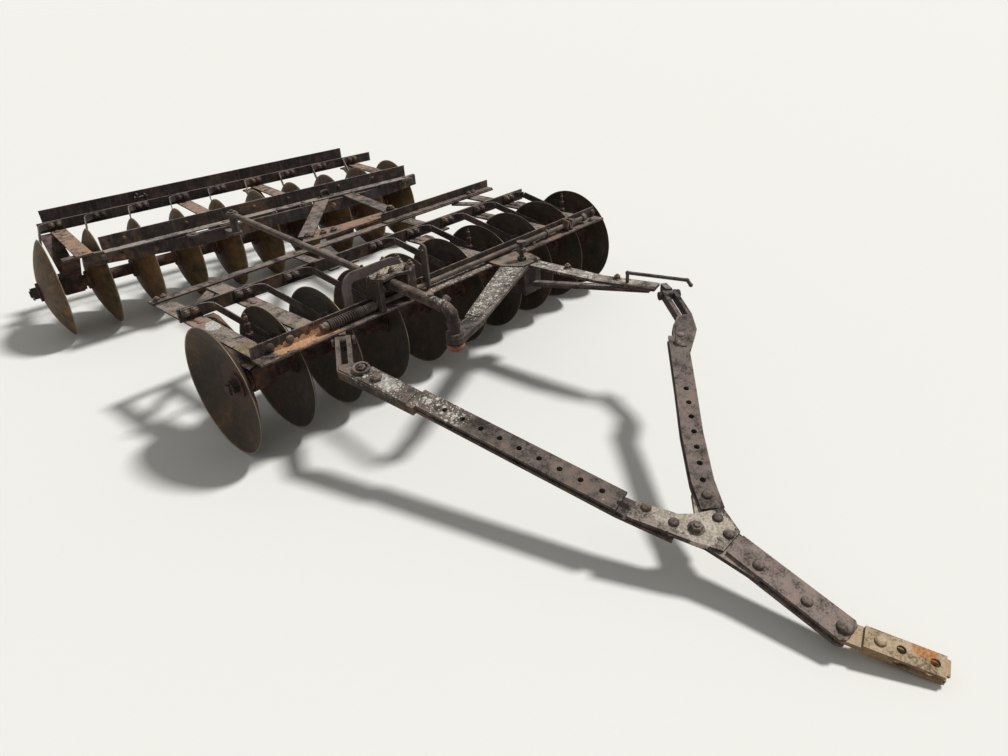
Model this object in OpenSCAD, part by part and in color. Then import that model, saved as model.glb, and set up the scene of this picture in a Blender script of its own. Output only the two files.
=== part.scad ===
// Offset disc harrow: two gangs of dished discs under two frames that are hinged together,
// a latch mechanism that sets their angle, and a V drawbar with a hitch clevis.
// Harrow coordinates: X along the front gang from the rim of its first disc, Y backwards from
// the front axle, Z up from the ground. Everything is then shifted so that the hitch pin is the origin.

/* [Discs] */
// Diameter of a disc
disc_d = 508; // [480:2:530]
// Thickness of a disc
disc_t = 5; // [4:0.5:6]
// Depth of the dish, from rim plane to flat centre
disc_dish = 70; // [60:1:76]
// Diameter of the flat centre
disc_flat_d = 100; // [98:1:110]
// Width of the sharpened edge
disc_bevel = 12; // [8:1:16]
// Distance from one disc to the next
disc_pitch = 228.6; // [226:0.2:240]
// Number of discs on a gang
disc_count = 10; // [9:1:11]

/* [Gang] */
// Side of the square arbor
arbor_side = 28.6; // [24:0.2:32]
// Diameter of the spool flanges
spool_flange_d = 96; // [90:1:100]
// Diameter of the spool waist
spool_waist_d = 60; // [52:1:70]
// Thickness of the spool flanges and collars
spool_flange_t = 11; // [9:0.5:12]
// Diameter of the bearing journal
journal_d = 72; // [68:1:76]
// Width of a bearing block along the arbor
block_w = 90; // [80:1:94]
// Depth of a bearing block, front to back
block_depth = 100; // [98:1:110]
// Height from the axle to the flat top of a bearing block
block_rise = 55; // [52:1:60]
// Distance from a disc's rim to the middle of the bearing block beside it
block_offset = 155; // [150:1:158]

/* [Frames] */
// Height of the front deck above the axle
front_deck_rise = 170; // [164:1:180]
// Height of the rear deck above the axle
rear_deck_rise = 203; // [200:1:212]
// Width of the flat cross-bars
bar_w = 76; // [64:1:80]
// Thickness of the flat cross-bars
bar_t = 8; // [6:0.5:8]
// Distance from a disc's rim to the middle of a front cross-bar
front_bar_offset = 102; // [98:1:108]
// Distance from a disc's rim back to the middle of a rear cross-bar
rear_bar_offset = 90; // [88:1:98]
// Distance from the axle to the upright leg of the front rail
rail_y = 206; // [204:1:212]
// Width of the lying leg of the front rail
rail_leg_w = 66; // [60:1:72]
// Height of the upright leg of the front rail
rail_leg_h = 54; // [48:1:58]
// Thickness of the angle irons
angle_t = 6; // [5:0.5:8]
// Distance from the axle to the scraper bar
scraper_bar_y = 326; // [318:1:334]
// Thickness of the scraper bar
scraper_bar_t = 10; // [8:0.5:12]
// Height of the scraper bar
scraper_bar_h = 55; // [54:1:60]
// Distance from the axle to the back edge of the front frame
front_back_y = 650; // [640:1:652]
// Width of the strip along the back edge
back_strip_w = 50; // [40:1:56]
// Height of the back angle's upright leg
back_angle_h = 46; // [40:1:56]
// Distance from the rear axle to its front rail
rear_rail_v = 280; // [276:1:284]
// Height of the rear rails' upright legs
rear_rail_h = 72; // [60:1:80]
// Distance from the rear axle to the back angle
rear_back_v = 475; // [470:1:500]
// Height of the rear back angle
rear_back_h = 90; // [80:1:96]
// Width of the lying leg of the rear back angle
rear_back_leg = 75; // [60:1:80]

/* [Bow beam] */
// Depth of the channel beam
beam_h = 62; // [56:1:62]
// Width of the beam's flanges
beam_flange = 28; // [24:1:28]
// Distance from the rear axle to the straight middle of the beam
beam_v = 356; // [352:1:360]

/* [Scrapers] */
// Height of a scraper arm
arm_h = 32; // [26:1:34]
// Thickness of a scraper arm
arm_t = 6; // [5:0.5:6]
// Outer radius of the bend of an arm
arm_bend_r = 55; // [48:1:58]
// Angle of the bend of an arm
arm_bend = 75; // [73:0.5:76]
// Length of the foot bolted on the bar
arm_foot = 70; // [60:1:72]

/* [Angle control] */
// Height of the control rod's axis above the top of the discs
rod_rise = 20; // [20:1:26]
// Diameter of the control rod
rod_d = 30; // [26:0.5:32]
// Diameter of the barrel that the rod slides in
barrel_d = 42; // [40:0.5:42]
// Length of the barrel
barrel_l = 470; // [450:1:480]
// Diameter of the vertical pin under the barrel
barrel_pin_d = 20; // [16:0.5:24]
// Thickness of the crank arms
crank_t = 12; // [10:0.5:14]
// Diameter of the bolt that joins the two frames
frame_bolt_d = 24; // [20:0.5:28]

/* [Drawbar] */
// Height of the hinge line of the drawbar
hinge_z = 398; // [396:1:400]
// Diameter of the hinge pins of the drawbar
hinge_pin_d = 20; // [16:0.5:22]
// Width of the drawbar bars
draw_w = 76; // [68:1:80]
// Thickness of the drawbar bars
draw_t = 10; // [8:0.5:11]
// Space between the upper and the lower bars
draw_gap = 16; // [14:0.5:18]
// Diameter of the row of adjusting holes
draw_hole_d = 19; // [14:0.5:22]
// Diameter of the hitch pin
hitch_pin_d = 22; // [19:0.5:26]
// Thickness of a cheek of the hitch clevis
cheek_t = 9; // [7:0.5:10]

/* [Clearances] */
// Radial clearance of a turning pin
pin_fit = 0.05; // [0.03:0.01:0.1]
// Radial clearance of the rod in its barrel
slide_fit = 0.1; // [0.05:0.01:0.1]
// Gap between faces that move past each other
side_gap = 0.4; // [0.3:0.1:0.6]
// Clearance of the square arbor in a disc or spool
arbor_fit = 0.3; // [0.2:0.05:0.5]
// Radial play of the control rod's eye on its pin
eye_play = 11; // [10:0.5:12]

/* [Hidden] */
$fn = 48;

steel = "#5a4a42";
dark_steel = "#4a403a";
disc_brown = "#6b5238";
cast_red = "#5c3f35";
rust_tan = "#b08a60";

axle_z = disc_d / 2;
gang_l = (disc_count - 1) * disc_pitch;
front_deck = axle_z + front_deck_rise;
rear_deck = axle_z + rear_deck_rise;
middle_gap = floor(disc_count / 2);
last_gap = disc_count - 2;
bearing_gaps = [0, middle_gap, last_gap];
front_bar_gaps = [0, 1, middle_gap, disc_count - 3, last_gap];
rear_bar_gaps = [0, middle_gap - 2, middle_gap, last_gap];
long_bar_gaps = [0, 1, last_gap];
missing_scraper = 4;

// Rails of the front frame, start and end along X
rail_x = [50, gang_l - 77];
scraper_bar_x = [48, gang_l - 17];
back_strip_x = [60, gang_l + 33];
back_angle_x = [1300, gang_l + 33];
bar_front = -245;

// Rear gang: rim of its first disc at the axle, turned about Z
rear_x = 2;
rear_y = 1741;
rear_turn = -7;
rear_rail_u = [216, gang_l - 67];
rear_back_u = [95, gang_l - 95];
rear_bar_front_v = rear_rail_v + 65;

// Bolt that joins the frames
joint_x = 1420;
joint_y = 720;
joint_boss_d = 84;
strap_w = 72;
tongue_t = 10;
tongue_z = rear_deck - bar_t - tongue_t;

// Angle control: pivot of the barrel on the crank, and pin of the rod's eye on the rear frame
rod_z = disc_d + rod_rise;
pivot_x = 600;
pivot_y = -640;
eye_u = 828;
eye_v = -446;
eye_x = rear_x + eye_u * cos(rear_turn) - eye_v * sin(rear_turn);
eye_y = rear_y + eye_u * sin(rear_turn) + eye_v * cos(rear_turn);
rod_turn = atan2(eye_y - pivot_y, eye_x - pivot_x);
rod_l = norm([eye_x - pivot_x, eye_y - pivot_y]);
eye_pin_d = 18;
eye_t = 14;
eye_r = eye_pin_d / 2 + eye_play + 11;
eye_flat_r = eye_r + eye_play;
elbow_r = 40;
rod_hidden = 320;

// Crank on the front rail
crank_x = 1280;
crank_y = -350;
crank_top = front_deck + angle_t;
crank_box = [100, 90, 118];

// Latch over the barrel
latch_x = [572, 712];
latch_post_w = [20, 40];
latch_y = [-270, -140];
latch_top = rod_z + barrel_d / 2 + 6;
latch_plate_t = 10;
trip_y = -237;
trip_z = front_deck + 31;
trip_d = 22;
trip_x = [330, 1850];

// Drawbar plane: s runs along the hinge line from A to B, t down towards the hitch
hinge_a = [370, -285];
hinge_b = [1395, -1015];
hinge_l = norm(hinge_b - hinge_a);
hinge_turn = atan2(hinge_b[1] - hinge_a[1], hinge_b[0] - hinge_a[0]);
core = draw_gap / 2;
skin = core + draw_t;
cheek = core + cheek_t;
swivel = [1160, 1408];
hitch_turn = 38;
hitch_r = 205;
clevis_r = 238;
clevis_w = 60;
clevis_chamfer = 8;
clevis_low_t = swivel[1] + (clevis_r - clevis_chamfer) * sin(hitch_turn) + clevis_w / 2 * cos(hitch_turn);
draw_tilt = asin(hinge_z / norm([clevis_low_t, cheek])) - atan(cheek / clevis_low_t);
hitch_s = swivel[0] + hitch_r * cos(hitch_turn);
hitch_t = swivel[1] + hitch_r * sin(hitch_turn);
hitch = [
    hinge_a[0] + hitch_s * cos(hinge_turn) + hitch_t * cos(draw_tilt) * sin(hinge_turn),
    hinge_a[1] + hitch_s * sin(hinge_turn) - hitch_t * cos(draw_tilt) * cos(hinge_turn),
    hinge_z - hitch_t * sin(draw_tilt)
];

// Frames of reference

module from_hitch() {
    translate(-hitch) children();
}

module on_rear() {
    from_hitch() translate([rear_x, rear_y, 0]) rotate([0, 0, rear_turn]) children();
}

module on_drawbar() {
    from_hitch() translate([hinge_a[0], hinge_a[1], hinge_z])
        rotate([0, 0, hinge_turn]) rotate([draw_tilt, 0, 0]) children();
}

module on_rod_line() {
    from_hitch() translate([pivot_x, pivot_y, rod_z]) rotate([0, 0, rod_turn]) children();
}

// Small shapes

module box(x, y, z) {
    translate([x[0], y[0], z[0]]) cube([x[1] - x[0], y[1] - y[0], z[1] - z[0]]);
}

module post(x, y, z, d) {
    translate([x, y, z[0]]) cylinder(h = z[1] - z[0], d = d);
}

module slab(points, z) {
    translate([0, 0, z[0]]) linear_extrude(z[1] - z[0]) polygon(points);
}

// Outline of a bent bar of width w along a path
function leg(path, i) = (path[i + 1] - path[i]) / norm(path[i + 1] - path[i]);
function leg_side(path, i) = [-leg(path, i)[1], leg(path, i)[0]];
function bend(path, i) = let(
    before = leg_side(path, max(i - 1, 0)),
    after = leg_side(path, min(i, len(path) - 2))
) (before + after) / (1 + before * after);
function strip(path, w) = concat(
    [for (i = [0 : len(path) - 1]) path[i] + bend(path, i) * w / 2],
    [for (i = [len(path) - 1 : -1 : 0]) path[i] - bend(path, i) * w / 2]
);

module flat_bar(path, w, z) {
    slab(strip(path, w), z);
}

// A pin or tube lying along X
module lying(x, d) {
    translate([x[0], 0, 0]) rotate([0, 90, 0]) cylinder(h = x[1] - x[0], d = d);
}

// Gang pieces, in the front gang's way: the hollow of a disc looks towards -X

dish_k = (pow(disc_d / 2, 2) - pow(disc_flat_d / 2, 2) - pow(disc_dish, 2)) / (2 * disc_dish);
dish_r = norm([dish_k, disc_d / 2]);
dish_steps = 7;

// Depth of the hollow face at radius r, from the rim plane
function dish_x(r) = sqrt(dish_r * dish_r - r * r) - dish_k;
function dish_at(i) = disc_flat_d / 2 + (disc_d - disc_flat_d) / 2 * i / dish_steps;

module disc() {
    edge_r = disc_d / 2 - disc_bevel;
    hollow = [for (i = [0 : dish_steps]) [dish_at(i), dish_x(dish_at(i))]];
    back = [for (i = [dish_steps - 1 : -1 : 0]) [dish_at(i), dish_x(dish_at(i)) + disc_t]];
    difference() {
        rotate([0, 90, 0]) rotate_extrude($fn = 72) polygon(concat(
            [[0, disc_dish]], hollow, [[disc_d / 2, 1], [edge_r, dish_x(edge_r) + disc_t]], back,
            [[0, disc_dish + disc_t]]));
        arbor_hole([disc_dish - 1, disc_dish + disc_t + 1]);
    }
}

module arbor_hole(x) {
    side = arbor_side + 2 * arbor_fit;
    translate([x[0], -side / 2, -side / 2]) cube([x[1] - x[0], side, side]);
}

module spool(bearing) {
    start = disc_dish + disc_t;
    end = disc_pitch + disc_dish;
    journal = [block_offset - block_w / 2 - side_gap, block_offset + block_w / 2 + side_gap];
    difference() {
        union() {
            lying([start, end], spool_waist_d);
            lying([start, start + spool_flange_t], spool_flange_d);
            lying([end - spool_flange_t, end], spool_flange_d);
            if (bearing) {
                lying([journal[0] - spool_flange_t, journal[1] + spool_flange_t], spool_flange_d - 8);
            }
        }
        if (bearing) {
            difference() {
                lying(journal, spool_flange_d + 10);
                lying([journal[0] - 1, journal[1] + 1], journal_d);
            }
        }
        arbor_hole([start - 1, end + 1]);
    }
}

module end_washer(x) {
    difference() {
        lying([x, x + spool_flange_t], spool_flange_d);
        arbor_hole([x - 1, x + spool_flange_t + 1]);
    }
}

module gang_discs() {
    for (i = [0 : disc_count - 1]) translate([i * disc_pitch, 0, axle_z]) disc();
}

module gang_spools() {
    for (i = [0 : disc_count - 2]) {
        translate([i * disc_pitch, 0, axle_z]) spool(len(search(i, bearing_gaps)) > 0);
    }
    translate([0, 0, axle_z]) end_washer(disc_dish - spool_flange_t);
    translate([gang_l, 0, axle_z]) end_washer(disc_dish + disc_t);
}

module gang_arbor() {
    nut_w = 26;
    first = disc_dish - spool_flange_t;
    last = gang_l + disc_dish + disc_t + spool_flange_t;
    translate([first - nut_w - 12, -arbor_side / 2, axle_z - arbor_side / 2])
        cube([last - first + 2 * nut_w + 24, arbor_side, arbor_side]);
    for (x = [first - nut_w, last]) {
        translate([x, 0, axle_z]) rotate([0, 90, 0]) cylinder(h = nut_w, d = 62, $fn = 6);
    }
}

// Bearing block: round below, flat on top
module bearing_block() {
    translate([block_offset, 0, axle_z]) difference() {
        union() {
            lying([-block_w / 2, block_w / 2], block_depth);
            box([-block_w / 2, block_w / 2], [-block_depth / 2, block_depth / 2], [0, block_rise]);
        }
        lying([-block_w, block_w], journal_d + 2 * side_gap);
    }
}

// V strap that hangs a bearing block under the deck
hanger_w = 84;
hanger_t = 8;
hanger_foot = [-248, 336];
hanger_foot_l = 50;

module hanger(deck) {
    top = deck - bar_t;
    low = axle_z + block_rise;
    half = block_depth / 2;
    front = hanger_foot[0];
    back = hanger_foot[1];
    translate([block_offset - 10 - hanger_w / 2, 0, 0]) rotate([90, 0, 90]) linear_extrude(hanger_w) polygon([
        [front, top], [front + hanger_foot_l, top], [-half + 4, low + hanger_t], [half - 4, low + hanger_t],
        [back - hanger_foot_l, top], [back, top], [back, top - hanger_t], [back - hanger_foot_l + 4, top - hanger_t],
        [half, low], [-half, low], [front + hanger_foot_l - 4, top - hanger_t], [front, top - hanger_t]
    ]);
}

// Scraper: foot on the bar, bend, sloping arm and a blade in the hollow of the disc at x = 0
blade_low = 62;
blade_h = 68;
tip_y = 30;
tip_x = 22;
arm_root = 4;
bend_steps = 10;
arm_inset = 0.5;

module scraper(deck) {
    run = scraper_bar_y - arm_bend_r * (1 - cos(arm_bend)) - tip_y;
    start_x = tip_x - arm_bend_r * sin(arm_bend) - run / tan(arm_bend);
    base_z = deck + 20;
    drop = base_z - (axle_z + blade_low + blade_h - arm_h);
    slope = atan(drop / (run / sin(arm_bend)));
    length = norm([run / sin(arm_bend), drop]);
    mid_r = arm_bend_r - arm_t / 2;
    arc = [for (i = [0 : bend_steps]) [mid_r * sin(arm_bend * i / bend_steps),
        mid_r * cos(arm_bend * i / bend_steps) - arm_bend_r]];
    translate([start_x, scraper_bar_y, base_z]) {
        linear_extrude(arm_h) polygon(strip(concat([[-arm_foot, -arm_t / 2]], arc), arm_t));
        translate([arm_bend_r * sin(arm_bend), -arm_bend_r * (1 - cos(arm_bend)), 0])
            rotate([0, 0, -arm_bend]) rotate([0, slope, 0]) translate([-arm_root, arm_inset - arm_t, 0])
            cube([length + arm_root, arm_t - 2 * arm_inset, arm_h]);
    }
    translate([tip_x - 8, tip_y - 2, axle_z + blade_low]) rotate([0, 0, -20]) cube([34, 5, blade_h]);
}

// Front frame

module front_rail() color(steel) from_hitch() {
    box(rail_x, [-rail_y - rail_leg_w, -rail_y], [front_deck, front_deck + angle_t]);
    box(rail_x, [-rail_y - angle_t, -rail_y], [front_deck, front_deck + rail_leg_h]);
}

module front_scraper_bar() color(dark_steel) from_hitch()
    box(scraper_bar_x, [scraper_bar_y, scraper_bar_y + scraper_bar_t], [front_deck, front_deck + scraper_bar_h]);

module front_back_strip() color(steel) from_hitch()
    box(back_strip_x, [front_back_y - back_strip_w, front_back_y], [front_deck, front_deck + bar_t]);

module front_back_angle() color(dark_steel) from_hitch() {
    z = front_deck + bar_t;
    box(back_angle_x, [front_back_y - back_strip_w + 4, front_back_y], [z, z + angle_t]);
    box(back_angle_x, [front_back_y - angle_t, front_back_y], [z, z + back_angle_h]);
}

module front_cross_bars() color(steel) from_hitch()
    for (i = front_bar_gaps) {
        x = i * disc_pitch + front_bar_offset;
        back = len(search(i, long_bar_gaps)) > 0 ? front_back_y : scraper_bar_y + scraper_bar_t;
        box([x - bar_w / 2, x + bar_w / 2], [bar_front, back], [front_deck - bar_t, front_deck]);
    }

// Straps from scraper bar to back strip, and the diagonals under the corners
module front_braces() color(steel) from_hitch() {
    brace_w = 50;
    for (x = [765, 875]) {
        box([x - brace_w / 2, x + brace_w / 2], [scraper_bar_y - 12, front_back_y], [front_deck - bar_t, front_deck]);
    }
    z = [front_deck - 2 * bar_t, front_deck - bar_t];
    last_x = last_gap * disc_pitch + front_bar_offset;
    flat_bar([[front_bar_offset + bar_w + 180, front_back_y - 30], [front_bar_offset, front_back_y - 260]], brace_w, z);
    flat_bar([[last_x - 140, front_back_y - 20], [last_x, front_back_y - 260]], brace_w, z);
}

module front_hangers() color(dark_steel) from_hitch()
    for (i = bearing_gaps) translate([i * disc_pitch, 0, 0]) hanger(front_deck);

module front_bearings() color(cast_red) from_hitch()
    for (i = bearing_gaps) translate([i * disc_pitch, 0, 0]) {
        bearing_block();
        seat = axle_z + block_rise + hanger_t;
        post(block_offset + 5, 0, [seat, front_deck + 30], 14);
        post(block_offset + 5, 0, [front_deck + 30, front_deck + 45], 22);
    }

module front_scrapers() color(dark_steel) from_hitch()
    for (k = [1 : disc_count - 1]) {
        if (k != missing_scraper) translate([k * disc_pitch, 0, 0]) scraper(front_deck);
    }

// Strap under the back of the front frame with the upright bolt of the rear frame's tongue
module frame_hinge_strap() color(steel) from_hitch() {
    z = front_deck - bar_t;
    half = strap_w / 2;
    box([joint_x - half, joint_x + half], [scraper_bar_y - 26, joint_y], [z, front_deck]);
    post(joint_x, joint_y, [z, front_deck], joint_boss_d);
    post(joint_x, joint_y, [front_deck, tongue_z - side_gap], 64);
    post(joint_x, joint_y, [front_deck, rear_deck + 16], frame_bolt_d);
    post(joint_x, joint_y, [rear_deck + side_gap, rear_deck + 16], frame_bolt_d + 22);
}

// Latch over the barrel, on the front rail

module latch_casting() color(dark_steel) from_hitch() difference() {
    for (i = [0, 1]) {
        translate([latch_x[i], 0, 0]) rotate([90, 0, 90]) linear_extrude(latch_post_w[i]) polygon([
            [latch_y[0], front_deck + angle_t], [-rail_y - angle_t, front_deck + angle_t],
            [-rail_y - angle_t, front_deck + rail_leg_h], [latch_y[1], front_deck + rail_leg_h],
            [latch_y[1], latch_top], [latch_y[0], latch_top]
        ]);
    }
    translate([0, trip_y, trip_z]) lying([latch_x[0] - 5, latch_x[1] + 60], trip_d + 2 * pin_fit);
}

module latch_plate() color("#7a7460") from_hitch()
    slab([[560, -240], [585, -290], [650, -275], [705, -300], [760, -262], [752, -205], [775, -150],
        [700, -122], [650, -140], [590, -125], [562, -165], [580, -205]], [latch_top, latch_top + latch_plate_t]);

module guide_loop() color(steel) from_hitch() {
    left = 455;
    right = 745;
    low = front_deck + 8;
    inner = latch_top + latch_plate_t;
    top = inner + 38;
    corner = 60;
    translate([0, -rail_y + hanger_t, 0]) rotate([90, 0, 0]) linear_extrude(hanger_t) difference() {
        union() {
            translate([left, low]) square([right - left, top - corner - low]);
            translate([left + corner, low]) square([right - left - 2 * corner, top - low]);
            translate([left + corner, top - corner]) circle(r = corner);
            translate([right - corner, top - corner]) circle(r = corner);
        }
        translate([left + 38 + 24, low - corner]) square([right - left, inner - low + corner]);
        translate([left + 38, low - corner]) square([right - left, inner - 24 - low + corner]);
        translate([left + 38 + 24, inner - 24]) circle(r = 24);
    }
}

module trip_pipe() color(steel) from_hitch() {
    translate([0, trip_y, trip_z]) {
        lying([trip_x[0] + 15, trip_x[1]], trip_d);
        lying([trip_x[0], trip_x[0] + 15], 32);
        lying([510, 560], 36);
        lying([1575, 1590], 32);
        lying([1760, 1775], 40);
        lying([trip_x[1], trip_x[1] + 22], 34);
    }
}

module trip_spring() color(dark_steel) from_hitch() translate([345, trip_y, trip_z]) {
    wire = 7;
    turns = 14;
    pitch = (510 - 345 - 2 * side_gap - wire) / turns;
    mean_r = 17;
    difference() {
        rotate([0, 90, 0]) rotate_extrude() union() {
            translate([mean_r - 3, side_gap]) square([2, turns * pitch + wire]);
            for (i = [0 : turns]) translate([mean_r, side_gap + wire / 2 + i * pitch]) circle(d = wire, $fn = 16);
        }
        lying([-1, 170], trip_d + 2 * side_gap);
    }
}

module trip_link() color(steel) from_hitch() {
    x = 828;
    t = 8;
    difference() {
        union() {
            box([x, x + t], [trip_y - 18, trip_y + 18], [trip_z, 602]);
            translate([x, trip_y, 602]) rotate([0, 90, 0]) cylinder(h = t, r = 18);
            translate([x, trip_y, trip_z]) rotate([0, 90, 0]) cylinder(h = t, r = 18);
        }
        translate([x - 1, trip_y, 602]) rotate([0, 90, 0]) cylinder(h = t + 2, r = 7);
        translate([x - 1, trip_y, trip_z]) rotate([0, 90, 0]) cylinder(h = t + 2, d = trip_d + 2 * pin_fit);
    }
    guide_x = 1742;
    difference() {
        box([guide_x, guide_x + 10], [trip_y - 24, -rail_y - angle_t], [front_deck + angle_t, trip_z + 26]);
        translate([guide_x - 1, trip_y, trip_z]) rotate([0, 90, 0]) cylinder(h = 12, d = trip_d + 2 * pin_fit);
    }
}

// Crank: two arms under one bolted plate on the front rail

module crank_bracket() color(dark_steel) from_hitch() {
    z = crank_top;
    slab([[crank_x - 95, -rail_y - 10], [crank_x + 60, -rail_y - 10], [crank_x + 88, crank_y + 30],
        [crank_x + 62, crank_y - 52], [crank_x - 50, crank_y - 52], [crank_x - 100, crank_y + 30]], [z, z + 9]);
    post(crank_x, crank_y, [z + 9, z + 95], 20);
    for (nut = [[9, 24], [45, 62], [82, 95]]) {
        translate([crank_x, crank_y, z + nut[0]]) cylinder(h = nut[1] - nut[0], d = 40, $fn = 6);
    }
    box([crank_x - 40, crank_x - 40 + crank_box[0]], [crank_y - 50, crank_y - 50 + crank_box[1]],
        [z - crank_t - crank_box[2], z - crank_t]);
}

module crank_left_arm() color("#6d6a5c") from_hitch() {
    z = [crank_top - crank_t, crank_top];
    neck = [745, -590];
    difference() {
        union() {
            slab([[crank_x - 10, crank_y + 46], [crank_x - 60, crank_y + 55], [neck[0] - 12, neck[1] + 38],
                [neck[0] + 12, neck[1] - 38], [crank_x - 10, crank_y - 48]], z);
            slab([[neck[0] + 30, neck[1] + 30], [neck[0] - 40, neck[1] + 22], [pivot_x + 10, pivot_y + 30],
                [pivot_x + 10, pivot_y - 32], [neck[0] - 20, neck[1] - 46], [neck[0] + 40, neck[1] - 24]],
                [z[0] - 10, z[1]]);
            post(pivot_x, pivot_y, [z[0] - 10, z[1]], 66);
        }
        post(pivot_x, pivot_y, [z[0] - 11, z[1] + 1], barrel_pin_d + 2 * pin_fit);
    }
}

module crank_right_arm() color(steel) from_hitch() {
    z = [crank_top - crank_t, crank_top];
    knee = [1320, -730];
    tip = hinge_b + [-14, 46];
    box_front = crank_y - 50;
    slab([[crank_x - 9, crank_y + 46], [crank_x + 55, crank_y + 30], [knee[0] + 34, knee[1]], [tip[0] + 30, tip[1] + 8],
        [tip[0] - 34, tip[1] - 8], [knee[0] - 32, knee[1]], [crank_x - 9, crank_y - 50]], z);
    low_start = [crank_x + 15, box_front - 20, z[0] - 70];
    low_end = [tip[0] - 6, tip[1] + 20, z[0] - 1];
    run = norm([low_end[0] - low_start[0], low_end[1] - low_start[1]]);
    difference() {
        translate(low_start) rotate([0, 0, atan2(low_end[1] - low_start[1], low_end[0] - low_start[0])])
            rotate([0, -atan2(low_end[2] - low_start[2], run), 0])
            translate([-40, -24, -12]) cube([run + 40, 48, 12]);
        box([crank_x - 100, crank_x + 150], [box_front, box_front + 100], [z[0] - 200, z[0]]);
    }
    hinge_lug(hinge_b, [0, 60]);
}

pin_reach = 42;
pin_head_t = 8;

// Lug with a through pin on the hinge line, reaching back from the pin by a length
module hinge_lug(place, back) {
    translate([place[0], place[1], hinge_z]) rotate([0, 0, hinge_turn]) {
        lying([-lug_w / 2, lug_w / 2], fork_d);
        lying([-pin_reach, pin_reach], hinge_pin_d);
        lying([-pin_reach, -pin_reach + pin_head_t], hinge_pin_d + 14);
        lying([pin_reach - pin_head_t, pin_reach], hinge_pin_d + 14);
        box([-lug_w / 2, lug_w / 2], back, [-12, front_deck - hinge_z]);
    }
}

// Bent keeper rod that stands on the right arm and reaches over the hinge
module crank_rod_loop() color(steel) from_hitch() {
    rod = 14;
    z = crank_top;
    points = [[1341, -856, z], [1341, -856, z + 42], [1412, -1080, z + 38], [1416, -1094, z + 20]];
    for (i = [0 : len(points) - 2]) rod_between(points[i], points[i + 1], rod);
    for (i = [1 : len(points) - 1]) translate(points[i]) sphere(d = rod + 3);
}

module rod_between(p, q, d) {
    run = norm([q[0] - p[0], q[1] - p[1]]);
    translate(p) rotate([0, 0, atan2(q[1] - p[1], q[0] - p[0])])
        rotate([0, 90 - atan2(q[2] - p[2], run), 0]) cylinder(h = norm(q - p), d = d);
}

module drawbar_lug() color(dark_steel) from_hitch() {
    hinge_lug(hinge_a, [0, 52]);
}

// Front gang

module front_discs() color(disc_brown) from_hitch() gang_discs();

module front_spools() color(cast_red) from_hitch() gang_spools();

module front_arbor() color(dark_steel) from_hitch() gang_arbor();

// Angle control

module control_barrel() color(steel) on_rod_line() {
    low = crank_top + side_gap - rod_z;
    difference() {
        union() {
            lying([elbow_r, barrel_l], barrel_d);
            translate([elbow_r, 0, -elbow_r]) rotate([90, 0, 0]) rotate([0, 0, 90]) rotate_extrude(angle = 90)
                translate([elbow_r, 0]) circle(d = barrel_d);
            post(0, 0, [low, -elbow_r], barrel_d);
            post(0, 0, [low, low + 13], 64);
            lying([barrel_l - 34, barrel_l], barrel_d);
        }
        lying([elbow_r + 22, barrel_l + 1], rod_d + 2 * slide_fit);
    }
    under = crank_top - crank_t - 10 - side_gap - rod_z;
    post(0, 0, [under - 24, low + 1], barrel_pin_d);
    post(0, 0, [under - 15, under], 36);
}

module control_rod() color("#6a6158") on_rod_line() difference() {
    union() {
        lying([barrel_l - rod_hidden, rod_l - eye_r + 4], rod_d);
        translate([rod_l, 0, -eye_t / 2]) cylinder(h = eye_t, r = eye_r);
    }
    translate([rod_l, 0, -rod_d]) cylinder(h = 2 * rod_d, r = eye_pin_d / 2 + eye_play);
    translate([rod_l, 0, eye_t / 2]) cylinder(h = rod_d, r = eye_flat_r);
    translate([rod_l, 0, -eye_t / 2 - rod_d]) cylinder(h = rod_d, r = eye_flat_r);
}

// Rear frame, in its own turned coordinates: u along the gang, v backwards from the axle

module rear_front_rail() color(dark_steel) on_rear() {
    box(rear_rail_u, [-rear_rail_v - 60, -rear_rail_v], [rear_deck, rear_deck + angle_t]);
    box(rear_rail_u, [-rear_rail_v - angle_t, -rear_rail_v], [rear_deck, rear_deck + rear_rail_h]);
}

// Bowed channel: a straight middle and two ends bent back
beam_path = [[130, -236], [620, -beam_v], [1660, -beam_v], [2085, -250]];
beam_web = 6;

module beam_strip(w, z) {
    back = [for (i = [len(beam_path) - 1 : -1 : 0]) beam_path[i] + [0, w]];
    slab(concat(beam_path, back), z);
}

module rear_bow_beam() color(dark_steel) on_rear() {
    top = rear_deck - bar_t;
    beam_strip(beam_web, [top - beam_h, top]);
    beam_strip(beam_flange, [top - beam_web, top]);
    beam_strip(beam_flange, [top - beam_h, top - beam_h + beam_web]);
}

module rear_scraper_bar() color(dark_steel) on_rear()
    box([50, gang_l + 45], [scraper_bar_y, scraper_bar_y + scraper_bar_t], [rear_deck, rear_deck + scraper_bar_h]);

module rear_back_angle() color(dark_steel) on_rear() {
    box(rear_back_u, [rear_back_v - rear_back_leg, rear_back_v], [rear_deck, rear_deck + angle_t]);
    box(rear_back_u, [rear_back_v - angle_t, rear_back_v], [rear_deck, rear_deck + rear_back_h]);
}

module rear_cross_bars() color("#7a5a44") on_rear()
    for (i = rear_bar_gaps) {
        u = (i + 1) * disc_pitch - rear_bar_offset;
        front = i == 0 ? -236 - 24 : -rear_bar_front_v;
        box([u - bar_w / 2, u + bar_w / 2], [front, rear_back_v], [rear_deck - bar_t, rear_deck]);
    }

module rear_hangers() color(dark_steel) on_rear()
    for (i = bearing_gaps) translate([(i + 1) * disc_pitch, 0, 0]) mirror([1, 0, 0]) hanger(rear_deck);

module rear_bearings() color(cast_red) on_rear()
    for (i = bearing_gaps) translate([(i + 1) * disc_pitch, 0, 0]) mirror([1, 0, 0]) bearing_block();

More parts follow.
